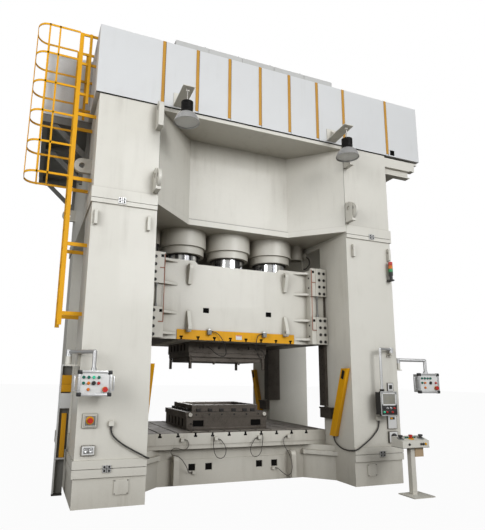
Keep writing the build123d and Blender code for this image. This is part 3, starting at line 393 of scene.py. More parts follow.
# The loop out of a bolster slot, on the left; the right one mirrors it
slotLoop = [
    (-0.45, -1.087, 0.772), (-0.45, -1.127, 0.772), (-0.45, -1.159, 0.745), (-0.451, -1.155, 0.695),
    (-0.45, -1.141, 0.64), (-0.444, -1.141, 0.585), (-0.436, -1.141, 0.53), (-0.416, -1.141, 0.478),
    (-0.378, -1.141, 0.432), (-0.322, -1.141, 0.412), (-0.266, -1.141, 0.43), (-0.232, -1.141, 0.478),
    (-0.222, -1.141, 0.535), (-0.234, -1.141, 0.592), (-0.264, -1.141, 0.642), (-0.3, -1.131, 0.69),
    (-0.334, -1.121, 0.716), (-0.372, -1.121, 0.716)]
cables = {
    "left_curtain_cable": dict(body="frame", wide=0.022, long=1.386, line=[
        (-2.276, -1.953, 1.05), (-2.276, -1.953, 0.965), (-2.215, -1.97, 0.885), (-2.11, -1.97, 0.805),
        (-2.0, -1.97, 0.742), (-1.88, -1.97, 0.68), (-1.778, -2.0, 0.625), (-1.712, -1.93, 0.6),
        (-1.72, -1.79, 0.586), (-1.72, -1.64, 0.59), (-1.72, -1.51, 0.618), (-1.72, -1.41, 0.67),
        (-1.72, -1.41, 0.745)]),
    "right_curtain_cable": dict(body="frame", wide=0.022, long=1.404, line=[
        (2.261, -1.953, 1.04), (2.261, -1.953, 0.955), (2.2, -1.97, 0.872), (2.105, -1.97, 0.784),
        (1.99, -1.97, 0.7), (1.875, -1.97, 0.635), (1.778, -2.0, 0.59), (1.712, -1.93, 0.566),
        (1.72, -1.79, 0.552), (1.72, -1.64, 0.56), (1.72, -1.51, 0.6), (1.72, -1.41, 0.668),
        (1.72, -1.41, 0.745)]),
    "bed_left_cable": dict(body="frame", wide=0.011, long=1.132, line=[
        (-0.957, -1.121, 0.726), (-0.915, -1.121, 0.726), (-0.88, -1.127, 0.69), (-0.872, -1.127, 0.64),
        (-0.895, -1.127, 0.592), (-0.945, -1.127, 0.57), (-1.0, -1.127, 0.578), (-1.055, -1.127, 0.6),
        (-1.11, -1.127, 0.604), (-1.158, -1.133, 0.582), (-1.178, -1.139, 0.54), (-1.152, -1.147, 0.504),
        (-1.1, -1.153, 0.49), (-1.045, -1.153, 0.474), (-1.0, -1.153, 0.438), (-0.962, -1.153, 0.392),
        (-0.926, -1.147, 0.342), (-0.89, -1.125, 0.29), (-0.855, -1.055, 0.236), (-0.812, -0.995, 0.193),
        (-0.76, -0.995, 0.193)]),
    "bed_right_cable": dict(body="frame", wide=0.011, long=1.046, line=[
        (0.944, -1.121, 0.726), (0.902, -1.121, 0.726), (0.874, -1.127, 0.682), (0.868, -1.127, 0.63),
        (0.88, -1.127, 0.578), (0.905, -1.137, 0.53), (0.935, -1.153, 0.478), (0.965, -1.153, 0.425),
        (0.99, -1.153, 0.37), (1.008, -1.153, 0.315), (1.018, -1.153, 0.255), (1.018, -1.153, 0.195),
        (1.004, -1.153, 0.135), (0.97, -1.153, 0.095), (0.922, -1.153, 0.082), (0.878, -1.133, 0.105),
        (0.846, -1.055, 0.148), (0.812, -0.995, 0.193), (0.76, -0.995, 0.193)]),
    "left_slot_cable": dict(body="frame", wide=0.011, long=0.895, line=slotLoop),
    "right_slot_cable": dict(body="frame", wide=0.011, long=0.895, line=[
        (-x, y, z) for x, y, z in slotLoop]),
    "left_die_cable": dict(body="frame", wide=0.012, long=0.183, line=[
        (-0.69, -0.66, 0.93), (-0.69, -0.702, 0.93), (-0.686, -0.744, 0.912), (-0.682, -0.772, 0.868),
        (-0.682, -0.772, 0.822)]),
    "slide_left_cable": dict(body="ram_slide", wide=0.014, long=1.082, line=[
        (-0.528, -1.134, 2.49), (-0.46, -1.134, 2.49), (-0.395, -1.154, 2.452), (-0.335, -1.164, 2.38),
        (-0.285, -1.154, 2.29), (-0.24, -1.122, 2.2), (-0.21, -1.062, 2.13), (-0.206, -0.986, 2.088),
        (-0.238, -0.916, 2.084), (-0.284, -0.854, 2.114), (-0.33, -0.794, 2.16), (-0.36, -0.732, 2.212),
        (-0.396, -0.683, 2.256), (-0.45, -0.683, 2.256)]),
    "slide_right_cable": dict(body="ram_slide", wide=0.014, long=1.201, line=[
        (0.468, -1.134, 2.49), (0.405, -1.134, 2.49), (0.352, -1.154, 2.44), (0.326, -1.164, 2.362),
        (0.324, -1.154, 2.278), (0.346, -1.12, 2.198), (0.396, -1.066, 2.13), (0.466, -1.0, 2.092),
        (0.544, -0.938, 2.08), (0.616, -0.872, 2.096), (0.66, -0.808, 2.142), (0.664, -0.758, 2.2),
        (0.62, -0.718, 2.244), (0.56, -0.692, 2.262), (0.504, -0.683, 2.262), (0.45, -0.683, 2.262)]),
    "return_hose": dict(body="frame", wide=0.024, long=0.45, line=[
        (1.72, -0.554, 4.19), (1.786, -0.554, 4.19), (1.842, -0.552, 4.148), (1.86, -0.554, 4.082),
        (1.838, -0.552, 4.016), (1.79, -0.554, 3.964), (1.744, -0.554, 3.925), (1.69, -0.554, 3.925)]),
}


def makeCable(name, facts):
    curve = bpy.data.curves.new(name + "Curve", "CURVE")
    curve.dimensions = "3D"
    curve.resolution_u = 12
    curve.bevel_depth = facts["wide"] / 2
    curve.bevel_resolution = 4
    curve.use_fill_caps = True
    line = curve.splines.new("NURBS")
    line.points.add(len(facts["line"]) - 1)
    for point, spot in zip(line.points, facts["line"]):
        point.co = (*spot, 1)
    line.order_u = 3
    line.use_endpoint_u = True
    cable = bpy.data.objects.new(name + "_curve", curve)
    bpy.context.scene.collection.objects.link(cable)
    curve.materials.append(paint["black_rubber"])
    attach(cable, facts["body"])
    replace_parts(cable, name)


def makeGlands():
    # A tapered strain relief where each cable meets its fitting
    for body in ("frame", "ram_slide"):
        mesh = bmesh.new()
        for facts in cables.values():
            if facts["body"] != body:
                continue
            line = [Vector(spot) * 1000 for spot in facts["line"]]
            radius = facts["wide"] * 500
            profile = [(radius * 0.9, 0), (radius * 2.0, 0), (radius * 2.0, 6), (radius * 1.5, 8),
                       (radius * 1.2, radius * 4), (radius * 0.9, radius * 4.2)]
            for end, inward in ((line[0], line[1]), (line[-1], line[-2])):
                addTurned(mesh, end, inward - end, profile, 16)
        finishPiece("cableGlands_" + body, mesh, "black_plastic", body)


for cableName, facts in cables.items():
    makeCable(cableName, facts)
makeGlands()
print("cables laid")


# Block and outline helpers for the details

def fourFrames(x0, x1, z0, z1, y, thick, wide):
    # A rectangular outline standing on a wall
    return [((x0, y - thick, z0), (x1, y, z0 + wide)), ((x0, y - thick, z1 - wide), (x1, y, z1)),
            ((x0, y - thick, z0), (x0 + wide, y, z1)), ((x1 - wide, y - thick, z0), (x1, y, z1))]


def bothEnds(x, half, near, far, low, high):
    # The same block at the front and at the back
    return [((x - half, end * near, low), (x + half, end * far, high)) for end in sides]


def dieSideWindows(low, high):
    return [((side * 712, y - 44, low), (side * 752, y + 44, high))
            for side in sides for y in (-420, -210, 0, 210, 420)]


def slotPlaces(count):
    return [(index - (count - 1) / 2) * slotPitch for index in range(count)]


def slotMouths(count, near, far, reflectionBands):
    # The mouths of T-slots at both ends, each band as half its width, low and high
    return [block for x in slotPlaces(count) for half, low, high in reflectionBands
            for block in bothEnds(x, half, near, far, low, high)]


# Frame details

frameHoles = [dict(places=(-762, -467, 467, 762), half=59, near=800, far=955, low=220, high=325),
              dict(places=(-555, 555), half=99, near=575, far=640, low=878, high=980)]
# Each wall box: left, right, low, high, depth and the rim round its cover
wallBoxes = [(2493, 2617, 1528, 1669, 18, 7), (2453, 2648, 897, 1113, 26, 9), (2459, 2645, 669, 854, 38, 9),
             (-2653, -2476, 676, 801, 32, 9)]


def makeHoleShadeLiners():
    # Painted shade: near-black linings, so that a shallow hole reads as a deep, shaded one
    shadeLiners = []
    for hole in frameHoles:
        for x in hole["places"]:
            shadeLiners += bothEnds(x, hole["half"], hole["near"], hole["far"], hole["low"], hole["high"])
    shadeLiners += dieSideWindows(861, 999)
    shadeLiners += slotMouths(bolsterSlots, 1060, 1091, ((29, 761, 787), (15, 787, 820)))
    shadeLiners += [((x - 28, -1070, 762), (x + 28, 1070, 790)) for x in slotPlaces(bolsterSlots)]
    blockPiece("holeShadeLiners", shadeLiners, "paintedShade", 1)


def makeSeams():
    seams = fourFrames(-2667, -2466, 1028, 1215, frontFace - 18, 4, 3)
    for side in sides:
        seams.append(((side * 1756 - 2.5, frontFace - 1.5, 4481), (side * 1756 + 2.5, frontFace, 6030)))
        seams.append(((side * 1000, recessFace - 2, 4449), (side * 994, recessFace, 5950)))
    seams.append(((-990, recessFace - 15, 4448), (990, recessFace - 1, 4454)))
    for x0, x1, z0, z1, depth, _ in wallBoxes:
        seams += fourFrames(x0, x1, z0, z1, frontFace, depth, 4)
    blockPiece("panelSeams", seams, "seamAndShade", 0.8)
    # Painted shade: dark strips in the shadow gap under the cladding and beside its strips
    gapShades = [((-2798, frontFace - 14, 6024), (2758, frontFace - 1, 6037))]
    gapShades += [((x + 25, frontFace - 21, 6040), (x + 32, frontFace - 17, 7208)) for x in stripPlaces]
    blockPiece("claddingGapShades", gapShades, "paintedShade", 0.5)
    # Painted shade in a pocket of the cladding
    blockPiece("claddingPocketShade", [((2872, -1940, 6058), (2978, -1905, 6164))], "paintedShade")


def makeRamSeals():
    rings = [(x, end * 554, 3893) for x in (-905, 0, 905) for end in sides]
    profile = [(301, 0), (334, 0), (334, 4), (328, 8), (303, 8), (301, 0)]
    turnedPiece("ramSealRings", rings, (0, 0, -1), profile, "black_rubber", 64)


def makeRailScrews():
    mesh = bmesh.new()
    for side in sides:
        for z in range(1320, 3760, 160):
            addTurned(mesh, (side * 1700, -1150, z), (-side, 0, 0), [(11, 0), (11, 5), (7, 6), (0, 6)], 10)
    finishPiece("railScrews", mesh, "black_metal")


curtainLock = dict(start=40, length=150, half=34, thick=5, barTop=(1685, -1817, 1908))


def makeCurtainLocks():
    # The black lock plate near the top of each leaning guard bar
    plates = bmesh.new()
    lean = Vector((0, 407, -1163)).normalized()
    across = Vector((0, 1163, 407)).normalized()
    start, half = curtainLock["start"], curtainLock["half"]
    stop = start + curtainLock["length"]
    x, y, z = curtainLock["barTop"]
    for side, end in corners:
        outline = []
        for along, wide in ((start, -half), (start, half), (stop, half), (stop, -half)):
            spot = Vector((side * x, y, z)) + lean * along + across * wide
            outline.append(Vector((spot.x, spot.y * -end, spot.z)))
        addPrism(plates, outline, Vector((-side * curtainLock["thick"], 0, 0)))
    finishPiece("curtainLocks", plates, "black_metal")


signal = dict(x=2665, low=3602, step=64,
              colours=("black_plastic", "green_plastic", "orange_plastic", "red_plastic"))


def makeSignalLights():
    profile = [(30, 0), (37.5, 0), (39, 3), (39, 26), (37.5, 30), (39, 34), (39, 57), (37.5, 60), (30, 60)]
    for index, finish in enumerate(signal["colours"]):
        place = (signal["x"], frontFace - 70, signal["low"] + index * signal["step"])
        turnedPiece("signalLight" + str(index), [place], (0, 0, 1), profile, finish, 32)


lamps = dict(places=(("left_lamp", -1470), ("right_lamp", 1496)), y=-2410, low=5540, ribs=7, ribPitch=25)


def makeLamps():
    # A black ribbed cooler over a spun bell with a frosted lens
    y, low = lamps["y"], lamps["low"]
    bell = [(78, 168), (100, 160), (132, 138), (160, 106), (182, 66), (194, 26), (199, 6), (199, 0), (194, 0),
            (189, 24), (176, 64), (154, 102), (128, 132), (98, 152), (70, 158)]
    lens = [(0, 0), (120, 2), (186, 8), (186, 14), (120, 12), (0, 10)]
    cooler = [(84, 0), (84, 16), (60, 20)]
    for rib in range(lamps["ribs"]):
        base = lamps["ribPitch"] * rib
        cooler += [(60, 26 + base), (94, 28 + base), (94, 38 + base), (60, 40 + base)]
    cooler += [(60, 198), (40, 204), (14, 206), (14, 224), (0, 224)]
    for name, x in lamps["places"]:
        shade = turnedPiece(name + "Bell", [(x, y, low)], (0, 0, 1), bell, "lamp_glass", 56, name)
        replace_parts(shade, name)
        turnedPiece(name + "Lens", [(x, y, low + 12)], (0, 0, 1), lens, "panel_white", 48, name)
        turnedPiece(name + "Cooler", [(x, y, low + 156)], (0, 0, 1), cooler, "black_metal", 40, name)
        mesh = bmesh.new()
        addTurned(mesh, (x, y, low + 360), (0, 0, 1), [(0, 0), (9, 0), (9, 172), (0, 172)], 16)
        addTurned(mesh, (x - 9, y, low + 548), (1, 0, 0),
                  [(6.2, 0), (19, 0), (19, 18), (6.2, 18), (6.2, 0)])
        finishPiece(name + "Hook", mesh, "rubbed", name)


def makeWallControls():
    face = frontFace
    toFront = (0, -1, 0)
    blockPiece("stopBacking", [((-2634, face - 36, 1055), (-2493, face - 33, 1190))], "grey_metal")
    blockPiece("stopFrame", fourFrames(-2640, -2487, 1049, 1196, face - 30, 12, 9), "cream", 3)
    turnedPiece("stopCollar", [(-2567, face - 36, 1127)], toFront,
                [(22, 0), (54, 0), (54, 3), (50, 6), (22, 6)], "yellow", 32)
    covers = [((x0 + rim, face - depth - 1, z0 + rim), (x1 - rim, face - depth + 3, z1 - rim))
              for x0, x1, z0, z1, depth, rim in wallBoxes]
    blockPiece("boxCovers", covers, "panel_white", 3)
    turnedPiece("switchCollar", [(2557, face - 39, 762)], toFront, [(50, 0), (62, 0), (62, 4), (50, 4)],
                "black_plastic", 40)
    blockPiece("boxWindows", [((2524, face - 22, 1566), (2588, face - 17, 1634)),
                              ((2500, face - 30, 1052), (2600, face - 26, 1092))], "black_plastic")
    blockPiece("boxLabel", [((2508, face - 32, 1060), (2556, face - 29, 1084))], "yellow", 1)
    blockPiece("socketField", [((-2625, face - 36, 702), (-2503, face - 32, 776))], "grey_metal", 3)
    turnedPiece("socketMouths", [(-2596, face - 35, 739), (-2532, face - 35, 739)], toFront,
                [(10, 0), (26, 0), (26, 8), (22, 10), (10, 4), (0, 4)], "aluminium")
    screws = [(x, face - 14, z) for x0, x1, z0, z1 in ((-2195, -1996, 157, 347), (1999, 2178, 154, 342))
              for x in (x0 + 12, x1 - 12) for z in (z0 + 12, z1 - 12)]
    turnedPiece("footPanelScrews", screws, toFront, [(7, 0), (7, 3), (4, 5), (0, 5)], "black_metal", 12)


guard = dict(front=-1060, back=-1004, left=-2932, right=-2764, top=1880)


def makeSideGuard():
    # A guard stand beside the left opening, carrying a scanner bar and two boxes
    front, back, left, right, top = (guard[key] for key in ("front", "back", "left", "right", "top"))
    blockPiece("guardPost", [((left, front, 26), (left + 24, back, top)),
                             ((left + 24, front, top - 24), (right, back, top))], "cladding", 3)
    blockPiece("guardSheet", [((-2910, back - 8, 26), (-2786, back, 640)),
                              ((-2910, back - 8, 636), (right, back, top - 20))], "grey_metal", 1)
    blockPiece("guardFoot", [((left - 2, front - 6, 0), (-2786, back + 6, 26))], "black_metal", 3)
    blockPiece("guardShelf", [((left + 2, front - 30, 505), (-2786, back, 527))], "aluminium", 3)
    blockPiece("guardRelayBox", [((-2906, front - 20, 1472), (right, back - 8, 1585)),
                                 ((-2906, front - 20, 1588), (right, back - 8, 1722))], "yellow", 4)
    blockPiece("guardWhiteBox", [((-2914, front - 60, 1234), (right, back - 8, 1454))], "panel_white", 8)
    blockPiece("guardScanner", [((-2870, front, 529), (-2800, back - 8, 1160))], "yellow", 6)


keyMark = dict(x=2304, heights=(497, 4310), face=1966, screwX=32, screwZ=24, lineX=56, lineZ=46)


def makeKeyMarks():
    # Four set screws and a cross line on each joint key
    face, lineX, lineZ = keyMark["face"], keyMark["lineX"], keyMark["lineZ"]
    screw = [(15, 0), (15, 3), (9, 5), (0, 3)]
    mesh = bmesh.new()
    for x in (-keyMark["x"], keyMark["x"]):
        for z in keyMark["heights"]:
            for end in sides:
                for dx, dz in corners:
                    spot = (x + dx * keyMark["screwX"], end * face, z + dz * keyMark["screwZ"])
                    addTurned(mesh, spot, (0, end, 0), screw, 14)
                for wide, high in ((lineX, 4), (4, lineZ)):
                    addBlock(mesh, (x - wide, end * (face - 1), z - high),
                             (x + wide, end * (face + 2), z + high), 0.8)
    finishPiece("keyMarks", mesh, "black_metal")


def addStrap(mesh, path, low, high, thick):
    # A flat bar bent along a plan path, standing between two heights
    rows = []
    for index, point in enumerate(path):
        before = Vector(path[max(index - 1, 0)])
        after = Vector(path[min(index + 1, len(path) - 1)])
        run = (after - before).normalized()
        spot = Vector(point)
        beside = spot + Vector((-run.y, run.x)) * thick
        rows.append([mesh.verts.new((p.x / 1000, p.y / 1000, z / 1000))
                     for p, z in ((spot, low), (spot, high), (beside, high), (beside, low))])
    for first, second in zip(rows, rows[1:]):
        joinRings(mesh, first, second)
    mesh.faces.new(rows[0])
    mesh.faces.new(rows[-1])


cage = dict(inner=-3082, outer=-3725, near=-1639, far=-1121, corner=170, thick=7, halfStrap=17,
            levels=(7205, 6706, 6205, 5704, 5203, 4703))


def makeCage():
    # Thin hoops with rounded corners and their upright straps
    inner, outer, near, far, corner = (cage[key] for key in ("inner", "outer", "near", "far", "corner"))
    top, bottom = cage["levels"][0] + 20, cage["levels"][-1] - 20
    path = [(inner, near)]
    for centreY, start in ((near + corner, 270), (far - corner, 180)):
        for step in range(7):
            angle = math.radians(start - 15 * step)
            path.append((outer + corner + corner * math.cos(angle), centreY + corner * math.sin(angle)))
    path.append((inner, far))
    mesh = bmesh.new()
    for level in cage["levels"]:
        addStrap(mesh, path, level - cage["halfStrap"], level + cage["halfStrap"], -cage["thick"])
    for y in (near + 4, far - 4):
        for x in (-3390, outer + corner + 10):
            addBlock(mesh, (x - 13, y - 4, bottom), (x + 13, y + 4, top), 1)
    for y in (near + corner, (near + far) / 2, far - corner):
        addBlock(mesh, (outer - 1, y - 13, bottom), (outer + cage["thick"], y + 13, top), 1)
    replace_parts(finishPiece("cageHoops", mesh, "yellow"), "ladder_cage")


# The rear pair of lugs reaches less far, so that it stays inside the CAD box
crownLug = dict(x=1800, wall=1929, middle=4704, half=22, height=195, reach={-1: 300, 1: 200}, eye=4750)


def makeCrownLugs():
    # Round-ended lifting lugs; a dark disc in each eye is painted shade for the hole
    mesh = bmesh.new()
    eyeShades = bmesh.new()
    for side, end in corners:
        x, reach = side * crownLug["x"], crownLug["reach"][end]
        outline = [(0, -205)]
        for degrees in range(-84, 85, 12):
            angle = math.radians(degrees)
            outline.append((reach * math.cos(angle), crownLug["height"] * math.sin(angle)))
        outline.append((0, 205))
        start = x - crownLug["half"]
        addPrism(mesh, [Vector((start, end * (crownLug["wall"] + out), crownLug["middle"] + up))
                        for out, up in outline], Vector((2 * crownLug["half"], 0, 0)))
        # Painted shade: a dark disc fills the eye hole
        addTurned(eyeShades, (x - 24, end * (crownLug["wall"] + 0.6 * reach), crownLug["eye"]), (1, 0, 0),
                  [(0, 0), (38, 0), (42, 1), (42, 47), (38, 48), (0, 48)], 24)
    finishPiece("crownLugs", mesh, "cream")
    finishPiece("crownLugEyeShades", eyeShades, "seamAndShade")


makeHoleShadeLiners()
makeSeams()
makeRamSeals()
makeRailScrews()
makeCurtainLocks()
makeSignalLights()
makeLamps()
makeWallControls()
makeSideGuard()
makeKeyMarks()
makeCage()
makeCrownLugs()
print("frame dressed")


# Slide and die details

slideParts = dict(shoeStarts=(3290, 2391), shoeColumns=(1585, 1685), shoeRows=4, shoePitch=130, linkX=1550,
                  bandSockets=(-558, 498))


def makeShoeScrews():
    mesh = bmesh.new()
    profile = [(0, 0), (27, 0), (27, 8), (25, 10.5), (15, 10.5), (14, 4), (0, 4)]
    for side, end in corners:
        for start in slideParts["shoeStarts"]:
            for x in slideParts["shoeColumns"]:
                for row in range(slideParts["shoeRows"]):
                    spot = (side * x, -end * shoeFace, start + slideParts["shoePitch"] * row)
                    addTurned(mesh, spot, (0, end, 0), profile, 20)
    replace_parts(finishPiece("shoeScrews", mesh, "black_metal", "ram_slide"), "shoe_bolts")


def makeSlideHoleShadeLiners():
    # Painted shade: near-black linings in the slide's holes, windows and slot mouths
    shadeLiners = []
    for x in (-608, 608):
        shadeLiners += bothEnds(x, 55, 940, 1078, 2813, 2899)
    for side, end in corners:
        for high in (3770, 2845):
            shadeLiners.append(((side * 1441, end * 1238, high - 89), (side * 1489, end * 1264, high - 41)))
    shadeLiners += dieSideWindows(2196, 2309)
    shadeLiners += slotMouths(slideSlots, 1080, 1099, ((15.5, 2343, 2376), (29.5, 2376, 2403)))
    blockPiece("slideHoleShadeLiners", shadeLiners, "paintedShade", 1, "ram_slide")


def makeSlideFittings():
    places = slideParts["bandSockets"]
    blockPiece("bandSockets", [((x - 33, -1166, 2436), (x + 33, -1100, 2512)) for x in places],
               "grey_metal", 6, "ram_slide")
    turnedPiece("bandSocketCaps", [(x, -1134, 2510) for x in places], (0, 0, 1),
                [(31, 0), (34, 3), (34, 22), (30, 29), (0, 29)], "aluminium", 28, "ram_slide")
    mesh = bmesh.new()
    for side in sides:
        for z in (3590, 3400, 2690, 2490):
            for y in (-1190, 1190):
                addTurned(mesh, (side * 1415, y, z), (-side, 0, 0), [(15, 0), (15, 9), (12, 11), (0, 11)], 12)
    for x in (-560, -190, 190, 560):
        addTurned(mesh, (x, -665, 2240), (0, -1, 0), [(17, 0), (17, 10), (9, 10), (8, 4), (0, 4)], 14)
    finishPiece("earScrews", mesh, "black_metal", "ram_slide")
    sleeve = [(0, 0), (28, 0), (28, 4), (14, 62), (11, 65), (11, 328), (14, 331), (28, 389), (28, 393),
              (0, 393)]
    places = [(side * slideParts["linkX"], end * 1253, 2846) for side, end in corners]
    turnedPiece("linkRods", places, (0, 0, 1), sleeve, "grey_metal", 20, "ram_slide")
    blockPiece("bandPlate", [((-45, slideFace - 17, 2372), (68, slideFace - 13, 2452))], "panel_white", 1,
               "ram_slide")
    blockPiece("bandPlateStrip", [((-43, slideFace - 18.5, 2436), (66, slideFace - 16.5, 2450))],
               "red_plastic", 0.5, "ram_slide")
    blockPiece("slideFloor", [((side * 1690, -1085, 2338), (side * 1100, 1085, 2342)) for side in sides],
               "dark_steel", 1, "ram_slide")


dieTop = dict(rim=1237, ledge=1120)


def makeDieDetails():
    mesh = bmesh.new()
    for x in (-600, -360, -120, 120, 360, 600):
        for end in sides:
            addTurned(mesh, (x, end * 675, 1078), (0, end, 0), [(15, 0), (15, 8), (8, 8), (7, 3), (0, 3)], 14)
    for x in (-700, -610, -400, -200, 0, 200, 400, 610, 700):
        for end in sides:
            top = dieTop["ledge"] if abs(x) == 700 else dieTop["rim"] - 2
            addTurned(mesh, (x, end * 500, top), (0, 0, 1),
                      [(26, -3), (26, 2), (20, 3), (10, 3), (8, 0), (0, 0)], 16)
    for y in (-300, -100, 100, 300):
        for side in sides:
            addTurned(mesh, (side * 600, y, dieTop["rim"] - 1), (0, 0, 1),
                      [(26, -3), (26, 2), (20, 3), (8, 0), (0, 0)], 16)
    finishPiece("dieScrews", mesh, "black_metal")
    ledge = dieTop["ledge"]
    clamps = [((x - 38, -575, ledge), (x + 38, -545, 1172)) for x in (-520, -300, -80, 160, 380, 540)]
    for y in (-380, -160, 60, 280, 480):
        clamps += [((side * 650, y - 36, ledge), (side * 700, y + 36, 1165)) for side in sides]
    blockPiece("dieClamps", clamps, "black_metal", 5)
    turnedPiece("dieLugEnds", [(-715, -675, 1078), (715, -675, 1078)], (0, -1, 0),
                [(34, 0), (34, 26), (30, 30), (14, 30), (12, 24), (0, 24)], "cream", 28)
    low, high = 1230, dieTop["rim"]
    blockPiece("dieRimFaces", [((-560, -534, low), (560, -458, high)), ((-560, 458, low), (560, 534, high)),
                               ((-638, -534, low), (-566, 534, high)), ((566, -534, low), (638, 534, high)),
                               ((-540, -440, 1158), (540, 440, 1164))], "rubbed", 1.5)
    blockPiece("dieFeet", [((-752, -690, 823), (752, -655, 862)), ((-752, 655, 823), (752, 690, 862))],
               "dark_steel", 3)


makeShoeScrews()
makeSlideHoleShadeLiners()
makeSlideFittings()
makeDieDetails()
print("slide and dies dressed")


# Operator panels

buttonCap = [(0, 0), (21, 0), (21, 2), (18, 4), (18, 20), (15, 23), (0, 23)]
# Each pendant: box as left, right, front, low and high, and its buttons as x and z under their colour
pendants = {
    "leftPendant": dict(body="left_pendant", box=(-2793, -2358, -2280, 1461, 1785), buttons={
        "teal_plastic": [(-2720, 1700), (-2655, 1700), (-2525, 1700), (-2720, 1625)],
        "orange_plastic": [(-2655, 1625), (-2655, 1545)],
        "red_plastic": [(-2525, 1625)], "lit_green": [(-2590, 1700)]}),
    "rightPendant": dict(body="right_pendant", box=(3150, 3620, -2008, 1500, 1845), buttons={
        "teal_plastic": [(3225, 1760), (3290, 1760), (3355, 1760), (3420, 1760), (3225, 1680)],
        "orange_plastic": [(3290, 1680), (3290, 1595)], "red_plastic": [(3540, 1680)]}),
}


def makeButtons(name, buttons, y, profile, body):
    # One piece for each colour
    for finish, spots in sorted(buttons.items()):
        places = [(x, y, z) for x, z in spots]
        turnedPiece(name + "_" + finish, places, (0, -1, 0), profile, finish, 24, body)


def makePendantDetails(name, facts):
    x0, x1, front, low, high = facts["box"]
    body = facts["body"]
    blockPiece(name + "Face", [((x0 + 32, front + 5, low + 32), (x1 - 32, front + 9, high - 32))],
               "panel_white", 1, body)
    caps = [((x + 7 * side, front - 11, z + 7 * end), (x - 52 * side, front + 44, z - 46 * end))
            for x, side in ((x0, -1), (x1, 1)) for z, end in ((low, -1), (high, 1))]
    blockPiece(name + "Corners", caps, "black_plastic", 14, body)
    grips = [((x + side * 27, front + 56, low + 70), (x + side * 51, front + 82, high - 70))
             for x, side in ((x0, -1), (x1, 1))]
    blockPiece(name + "Grips", grips, "aluminium", 8, body)
    rim = fourFrames(x0 - 2, x1 + 2, low - 2, high + 2, front + 3, 8, 30)
    blockPiece(name + "Frame", rim, "aluminium", 5, body)
    makeButtons(name, facts["buttons"], front + 6, buttonCap, body)


def makeStopPlates():
    collar = [(20, 0), (37, 0), (37, 4), (34, 6), (20, 6)]
    for name, place, body in (("leftPendantStopPlate", (-2440, -2273, 1545), "left_pendant"),
                              ("rightPendantStopPlate", (3540, -2001, 1590), "right_pendant")):
        turnedPiece(name, [place], (0, -1, 0), collar, "yellow", 32, body)


panel = dict(box=(2138, 2478, -2180, 1135, 1530), rows=6, rowPitch=24, knobs={
    "lit_green": [(2200, 1195)], "red_plastic": [(2255, 1195), (2365, 1195), (2410, 1258)],
    "black_plastic": [(2310, 1195), (2420, 1195), (2200, 1258)], "aluminium": [(2270, 1258), (2340, 1258)]})


def makeFrontPanel():
    x0, x1, front, low, high = panel["box"]
    body = "panel_box"
    rim = fourFrames(x0 - 2, x1 + 2, low - 2, high + 2, front + 3, 7, 16)
    blockPiece("panelFrame", rim, "aluminium", 4, body)
    bezel = fourFrames(x0 + 20, x1 - 20, 1302, high - 18, front + 2, 7, 22)
    blockPiece("panelBezel", bezel, "panel_white", 2, body)
    blockPiece("panelScreen", [((x0 + 40, front + 1, 1322), (x1 - 40, front + 8, high - 38))],
               "screen_glass", 2, body)
    lines = []
    for row in range(panel["rows"]):
        z = 1340 + panel["rowPitch"] * row
        lines.append(((x0 + 52, front, z), (x0 + 96 + 60 * (row % 3), front + 3, z + 7)))
    blockPiece("panelScreenRows", lines, "grey_metal", 1, body)
    blockPiece("panelKeypad", [((x0 + 20, front + 1, 1152), (x1 - 20, front + 7, 1292))],
               "black_plastic", 3, body)
    knob = [(0, 0), (19, 0), (19, 4), (15.4, 6), (15.4, 20), (13, 23), (0, 23)]
    makeButtons("panelKnobs", panel["knobs"], front + 5, knob, body)


console = dict(
    slope=math.atan2(50, 180), lightPlaces=(2190, 2230, 2334, 2374),
    collars=(("leftPalmCollar", 2082, "grey_metal"), ("rightPalmCollar", 2482, "grey_metal"),
             ("consoleStopCollar", 2282, "yellow")),
    keys=((2170, "black_plastic"), (2400, "black_plastic"), (2446, "black_plastic"), (2492, "yellow")))


def makeConsoleDetails():
    up = (0, -math.sin(console["slope"]), math.cos(console["slope"]))
    collar = [(24, 0), (50, 0), (50, 5), (46, 8), (24, 8)]
    for name, x, finish in console["collars"]:
        turnedPiece(name, [(x, -2650, 827)], up, collar, finish, 32)
    blockPiece("consoleTanBox", [((2320, -2692, 558), (2484, -2558, 696))], "tan", 3)
    for x, finish in console["keys"]:
        turnedPiece("consoleKey" + str(x), [(x, -2740, 752)], (0, -1, 0),
                    [(0, 0), (19, 0), (19, 6), (14, 9), (14, 16), (0, 16)], finish)
    turnedPiece("consoleButtons", [(x, -2640, 846) for x in console["lightPlaces"]], (0, 0, 1),
                [(13.4, -14), (13.4, 5), (11, 7), (0, 7)], "teal_plastic", 20)
    blockPiece("consoleEdge", [((2038, -2743, 696), (2567, -2487, 703))], "seamAndShade", 2)


for pendantName, facts in pendants.items():
    makePendantDetails(pendantName, facts)
makeStopPlates()
makeFrontPanel()
makeConsoleDetails()
print("operator panels dressed")


# Studio, in metres and watts

studio = dict(skyFront=0.44, skyBack=0.06, skyColour=(1.0, 0.99, 0.96, 1), floorColour=(0.16, 0.15, 0.135, 1),
              floorGlow=0.965, floorSize=120)
studioLamps = {
    "keyLight": dict(place=(7, -25, 12), aim=(0, 0, 3.2), power=3050, size=11),
    "fillLight": dict(place=(-12, -9, 6), aim=(0, 0, 3), power=720, size=7),
    "backLight": dict(place=(3, 24, 12), aim=(0, 0, 3), power=1500, size=8),
}
white = (1, 1, 1, 1)


